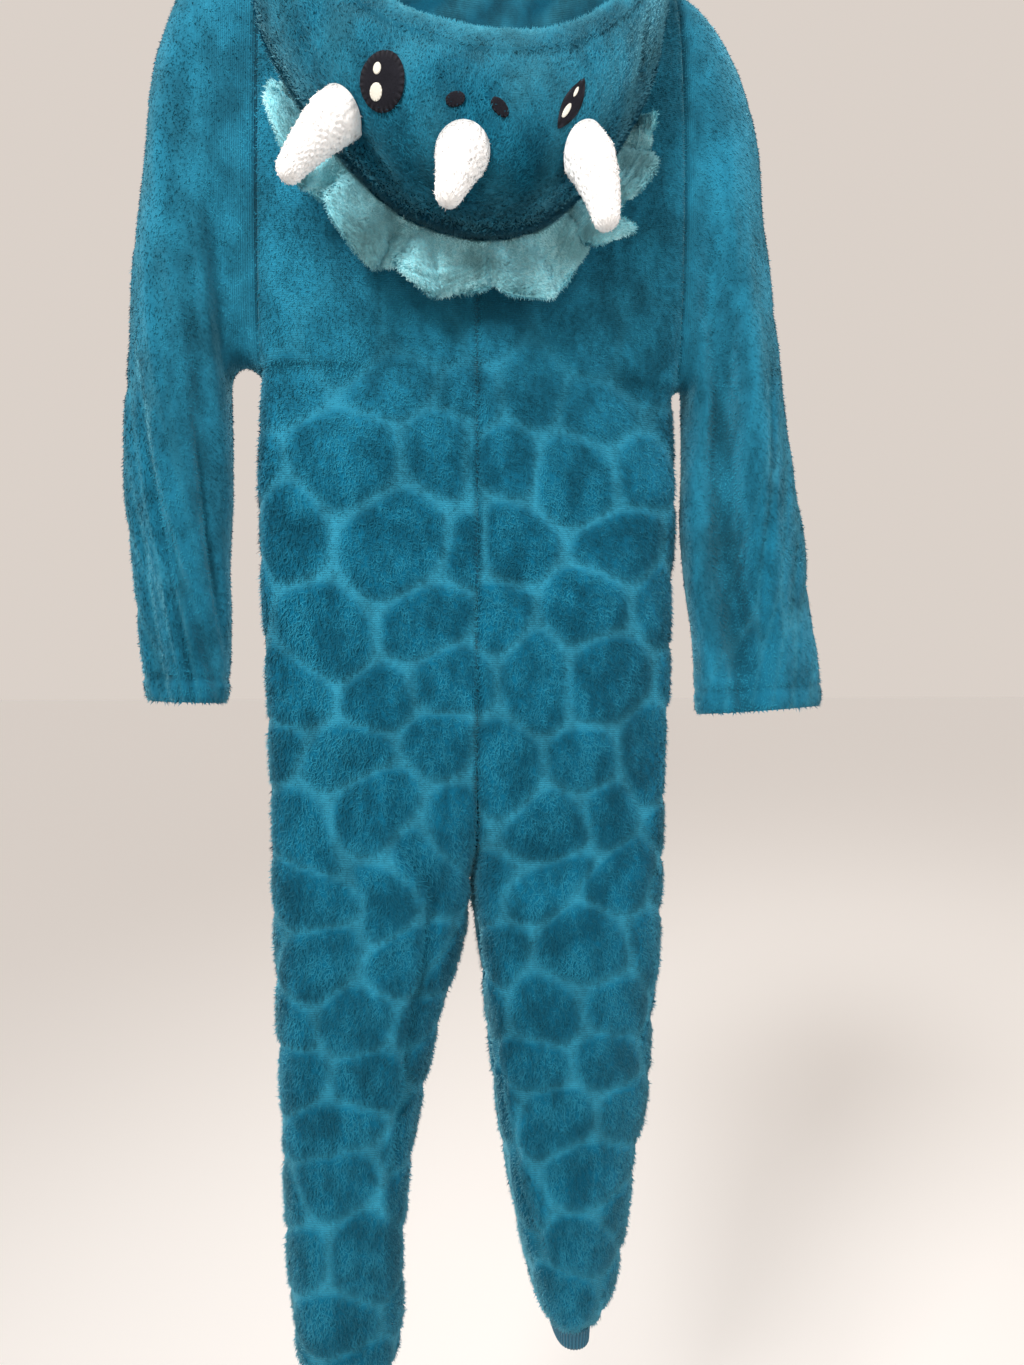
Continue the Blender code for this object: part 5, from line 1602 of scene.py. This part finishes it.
def makeFrill():
    # Rows from the crown seam outwards: each point goes out along the seam's normal by its width, swings with
    # a sine of the place along the seam, and leans away from the back by a power of its share of the width.
    # Twice that sine's pace slides the points along the seam, so that each wave narrows at its neck. The
    # walls bulge, and close at the edge.
    steps = np.linspace(frill["start"], frill["end"], frill["columns"] + 1)
    at = steps * 2 * hoodFinish["perColumn"]
    root, out = (readGrid(faceGrid[label], np.zeros_like(at), at) for label in ("cut", "normals"))
    out = unit(out * (1.0, 0.25, 1.0))
    share = (steps - frill["start"]) / (frill["end"] - frill["start"])
    wide = frill["endWidth"] + (frill["width"] - frill["endWidth"]) * np.sin(math.pi * share) ** 0.6
    slow, fast = frill["uneven"]
    place = share + slow * np.sin(2 * math.pi * 2.3 * share + 1.0) + fast * np.sin(2 * math.pi * 5.3 * share)
    phase = 2 * math.pi * frill["waves"] * place
    size = 1 + 0.22 * np.sin(2 * math.pi * 1.7 * share + 0.5) + 0.14 * np.sin(2 * math.pi * 3.9 * share + 2.0)
    wide = wide * (1 + frill["scallop"] * np.cos(phase + 0.6) * size)
    far = (1 - (1 - np.linspace(0.0, 1.0, frill["rows"] + 1)) ** 1.5)[:, None]
    reach = frill["gap"] + (wide - frill["gap"]) * far
    gather = np.sin(frill["gatherPace"] * phase + 0.7)
    sway = -frill["lean"] * far**1.3 + frill["wave"] * size * far * np.sin(phase)
    sway = sway + frill["gather"] * size * np.sin(math.pi * far) ** 0.5 * gather
    slip = 0.35 * frill["wave"] * far * np.cos(phase) - frill["fold"] * size * far**1.2 * np.sin(2 * phase)
    along = unit(np.gradient(root, axis=0))
    points = root + out * reach[..., None] + along * slip[..., None]
    points = points + sway[..., None] * np.array([0.0, 1.0, 0.0])
    normals = unit(gridNormals(points, False, (0, -1, 0)))
    half = frill["thick"] / 2 * np.sqrt(1.0001 - far**9) * (0.35 + 0.65 * smoothStep(far, 0.0, 0.75))
    half = half * np.ones_like(reach)
    across, down = lengthsAlong(points, 1), lengthsAlong(points, 0)
    half = half * (1 + 0.16 * softNoise(across, down, 0.022, 61))
    half[:, [0, -1]] *= 0.4
    tone = 0.75 + 0.25 * softNoise(across, down, 0.03, 5)
    # Painted shadow in the troughs of the waves and in the gathers, fainter towards the edge
    hollow = 0.65 * smoothStep(np.sin(phase), 0.1, 1.0) + 0.35 * smoothStep(gather, 0.0, 1.0)
    seam = seamMark(down, 0.003) + frill["shadow"] * hollow * (1 - 0.5 * far)
    tone = tone + 0.35 * hollow
    values = {"tone": tone, "seam": seam, "tip": np.zeros_like(tone)}
    finish = finishes["frill"]
    piece = wall("hood_frill_cloth", points, normals, half, half, False, finish, values, across, down)
    blades = []
    for word, sign, share in (("back", 1.0, 0.65), ("under", -1.0, 0.35)):
        blades.append(growPile(
            f"hood_frill_pile_{word}", points + normals * half[..., None] * sign, normals * sign, False, tone,
            int(frill["blades"] * share), 15, finish, None, frill["pileLength"],
        ))
    return piece, blades


sheets["hood_frill"], furs["hood_frill"] = makeFrill()
print("frill made")


# Hanger

hanger = {
    "armRound": 0.03,
    "tipFall": 12.0,
    "radius": 0.0062,
    "tipX": 0.186,
    "clearance": 0.0111,
    "hookRadius": 0.0022,
    "hookInside": 0.020,
}


def makeHanger():
    # The arms follow the shoulder slope with a rounded middle and drooping tips. The hook is an arc whose
    # inside top is the origin, bent back over the arms.
    slope = (body["shoulderEndDrop"] - body["neckDrop"]) / (body["armholeX"]["left"] - body["neckHalfWidth"])
    x = np.linspace(-hanger["tipX"], hanger["tipX"], 121)
    away = np.abs(x)
    drop = body["neckDrop"] + hanger["clearance"]
    drop = drop + (np.hypot(away, hanger["armRound"]) - body["neckHalfWidth"] - 0.005) * slope
    drop = drop + np.maximum(away - body["armholeX"]["left"] + 0.01, 0.0) ** 2 * hanger["tipFall"]
    path = np.stack([x, np.zeros_like(x), -drop], -1)
    arms = tube("hanger_arms_round", path, hanger["radius"], finishes["plastic"], 28)
    top = -float(np.interp(0.0, x, drop)) + hanger["radius"]
    radius = hanger["hookInside"] + hanger["hookRadius"]
    turns = np.radians(np.linspace(-35.0, 215.0, 64))
    loop = np.stack([radius * np.cos(turns), 0 * turns, -hanger["hookInside"] + radius * np.sin(turns)], -1)
    foot = np.array([0.0, 0.0, top + 0.0004])
    share = np.linspace(0.1, 0.8, 12)[:, None]
    bend = loop[-1] + (foot - loop[-1]) * np.concatenate([1 - (1 - share) ** 2, 0 * share, share], 1)
    bend = bend[bend[:, 2] > top + 0.008]
    path = np.concatenate([loop, bend, [[0.0, 0.0, top + 0.006]], [[0.0, 0.0, top + 0.0026]]])
    hook = tube("hanger_hook_wire", path, hanger["hookRadius"], finishes["steel"], 20)
    for piece, node, slot in ((arms, "hanger_arms", "hanger_plastic"), (hook, "hanger_hook", "hanger_steel")):
        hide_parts(node)
    return arms


arms = makeHanger()
print("hanger made")


# Zip: tapes and teeth lie on the centre front

zipper = {
    "tapeWidth": 0.0135,
    "tape": 0.0009,
    "split": 0.00012,
    "startDrop": 0.142,
    "tapeStep": 0.004,
    # across, out and down
    "tooth": (0.0036, 0.0017, 0.0014),
    "toothPitch": 0.0030,
    "toothReach": 0.0007,
    "toothMargin": 0.004,
    "toothInset": 0.0006,
    "toothPinch": 0.82,
}


def frontCentre(side):
    # The front panel's own fine grid near its centre edge, with each point's distance from the centre.
    name = f"front_{side}"
    rowAt = evenSteps(cages[f"back_{side}"]["points"], 0, panels["spacing"])
    columnAt = np.linspace(bodyColumns - 1.2, bodyColumns, 25)
    points, normals = fineGrid(name, rowAt, columnAt)
    fromSide = lengthsAlong(points, 1)
    return points, normals, fromSide[:, -1:] - fromSide


def zipStations(side, drops, places, lift):
    # Points of the front at given drops and distances from the centre, lifted along the normal.
    points, normals, fromCentre = frontCentre(side)
    rowDrop = -points[:, -1, 2]
    rows = np.interp(drops, rowDrop, np.arange(len(rowDrop)))
    made = []
    for place, high in zip(places, np.broadcast_to(lift, (len(places),))):
        column = np.array([np.interp(-place, -distance, np.arange(len(distance))) for distance in fromCentre])
        column = np.interp(rows, np.arange(len(column)), column)
        made.append(readGrid(points, rows, column) + unit(readGrid(normals, rows, column)) * high)
    return np.stack(made, axis=1)


def makeZip():
    # Each tape is a thin wall that lies on the front. Each tooth is a block of eight corners on its edge.
    tapes = []
    drops = np.arange(zipper["startDrop"], zipEnd, zipper["tapeStep"])
    places = np.linspace(zipper["split"], zipper["tapeWidth"], 12)
    for side in signs:
        outer = zipStations(side, drops, places, lieGap + zipper["tape"])
        inner = zipStations(side, drops, places, lieGap)
        points = (outer + inner) / 2
        normals = unit(outer - inner)
        half = np.full(points.shape[:2], zipper["tape"] / 2)
        across = np.broadcast_to(places, half.shape)
        down = np.broadcast_to(drops[:, None], half.shape)
        finish = finishes["tape"]
        tape = wall(f"zip_tape_{side}_woven", points, normals, half, half, False, finish, {}, across, down)
        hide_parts("zip_strip")
        tapes.append(tape)
    teeth = []
    wide, thick, tall = zipper["tooth"]
    reach, margin, inset = zipper["toothReach"], zipper["toothMargin"], zipper["toothInset"]
    for side in signs:
        start = zipper["startDrop"] + margin + (0.0 if side == "left" else zipper["toothPitch"] / 2)
        at = np.arange(start, zipEnd - margin, zipper["toothPitch"])
        corners = []
        for high, pinch in ((0.0001, 1.0), (thick, zipper["toothPinch"])):
            middle = zipStations(side, at, [inset, (wide - reach) * pinch], lieGap + zipper["tape"] + high)
            edge = unit(middle[:, 0] - middle[:, 1])
            inside = middle[:, 0] + edge * (inset + reach * pinch)
            low = np.array([0.0, 0.0, -1.0]) * tall * pinch / 2
            corners += [inside + low, middle[:, 1] + low, middle[:, 1] - low, inside - low]
        corners = np.stack(corners, axis=1)
        first = (np.arange(len(at)) * 8)[:, None, None]
        block = np.array([
            [3, 2, 1, 0], [4, 5, 6, 7], [0, 1, 5, 4], [1, 2, 6, 5], [2, 3, 7, 6], [3, 0, 4, 7],
        ])
        if side == "left":
            block = block[:, ::-1]
        faces = (first + block).reshape(-1, 4)
        piece = newPiece(
            f"zip_teeth_{side}", corners.reshape(-1, 3), faces, [], finishes["metal"], smooth=False
        )
        teeth.append(piece)
    return tapes, teeth, float(np.ptp(drops))


zipTapes, zipTeeth, zipLength = makeZip()
for name in ("zip_slider", "zip_pull"):
    node = frame["nodes"][name]
    node.data.materials.clear()
    node.data.materials.append(finishes["metal"])
print("zip made")


# Each sheet hides the model's parts that it stands for, and every new piece joins the garment

# The model's leg parts that the right panels stand for as well
legs = {"back_right": ["leg_back_right"], "front_right": ["leg_front_right"]}
for name, piece in sheets.items():
    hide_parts(name, *legs.get(name, []))
    extra = furs.get(name, [])
    if name == "hood_face":
        extra = extra + facePieces + hornFurs
for piece in list(bpy.context.scene.collection.objects):
    if piece.type == "MESH" and piece.parent is None and piece.name not in frame["nodes"]:
        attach(piece, "garment")


# Floor, light and camera

stage = {
    "floorDrop": 1.62,
    "floorReach": 60.0,
    "wall": (0.98, 0.885, 0.81),
    "wallStrength": 0.72,
    # name, place, place it aims at, size, power, spread in degrees, colour
    "lights": (
        ("key", (-2.0, -2.9, 1.8), (0.0, 0.0, -0.08), 1.3, 13.5, 42.0, (1.0, 0.98, 0.95)),
        ("fill", (2.9, -1.8, 1.0), (0.1, 0.0, -0.2), 1.6, 4.2, 56.0, (0.94, 0.97, 1.0)),
        ("rim", (0.9, 2.6, 1.7), (0.0, 0.0, -0.4), 1.4, 6.0, 60.0, (1.0, 1.0, 1.0)),
    ),
    "camera": (-0.1056, -0.7804, -0.65),
    "turn": 10.0,
    "lens": 27.06,
    "sensor": 36.0,
}


def makeStage():
    # A wide floor, three soft lights, a plain background, and the camera with the photograph's view.
    reach, low = stage["floorReach"], -stage["floorDrop"]
    mesh = bpy.data.meshes.new("floor")
    corners = [(-reach, -reach, low), (reach, -reach, low), (reach, reach, low), (-reach, reach, low)]
    mesh.from_pydata(corners, [], [(0, 1, 2, 3)])
    made, *_ = newFinish("floor", {"Base Color": (0.96, 0.96, 0.96, 1.0), "Roughness": 0.9})
    mesh.materials.append(made)
    floor = bpy.data.objects.new("floor", mesh)
    bpy.context.scene.collection.objects.link(floor)
    for name, place, aim, size, power, spread, colour in stage["lights"]:
        lamp = bpy.data.lights.new(name, "AREA")
        lamp.size = size
        lamp.energy = power
        lamp.spread = math.radians(spread)
        lamp.color = colour
        light = bpy.data.objects.new(name, lamp)
        light.location = place
        light.rotation_euler = (Vector(aim) - Vector(place)).to_track_quat("-Z", "Y").to_euler()
        bpy.context.scene.collection.objects.link(light)
    world = bpy.data.worlds.new("studio")
    world.use_nodes = True
    world.node_tree.nodes["Background"].inputs["Color"].default_value = (*stage["wall"], 1.0)
    world.node_tree.nodes["Background"].inputs["Strength"].default_value = stage["wallStrength"]
    bpy.context.scene.world = world
    lens = bpy.data.cameras.new("camera")
    lens.sensor_width = stage["sensor"]
    lens.lens = stage["lens"]
    camera = bpy.data.objects.new("camera", lens)
    camera.location = stage["camera"]
    turn = math.radians(stage["turn"])
    heading = Vector((math.sin(turn), math.cos(turn), 0.0))
    camera.rotation_euler = heading.to_track_quat("-Z", "Y").to_euler()
    bpy.context.scene.collection.objects.link(camera)
    bpy.context.scene.camera = camera
    bpy.context.scene.view_settings.view_transform = "Standard"


makeStage()
print("stage made")
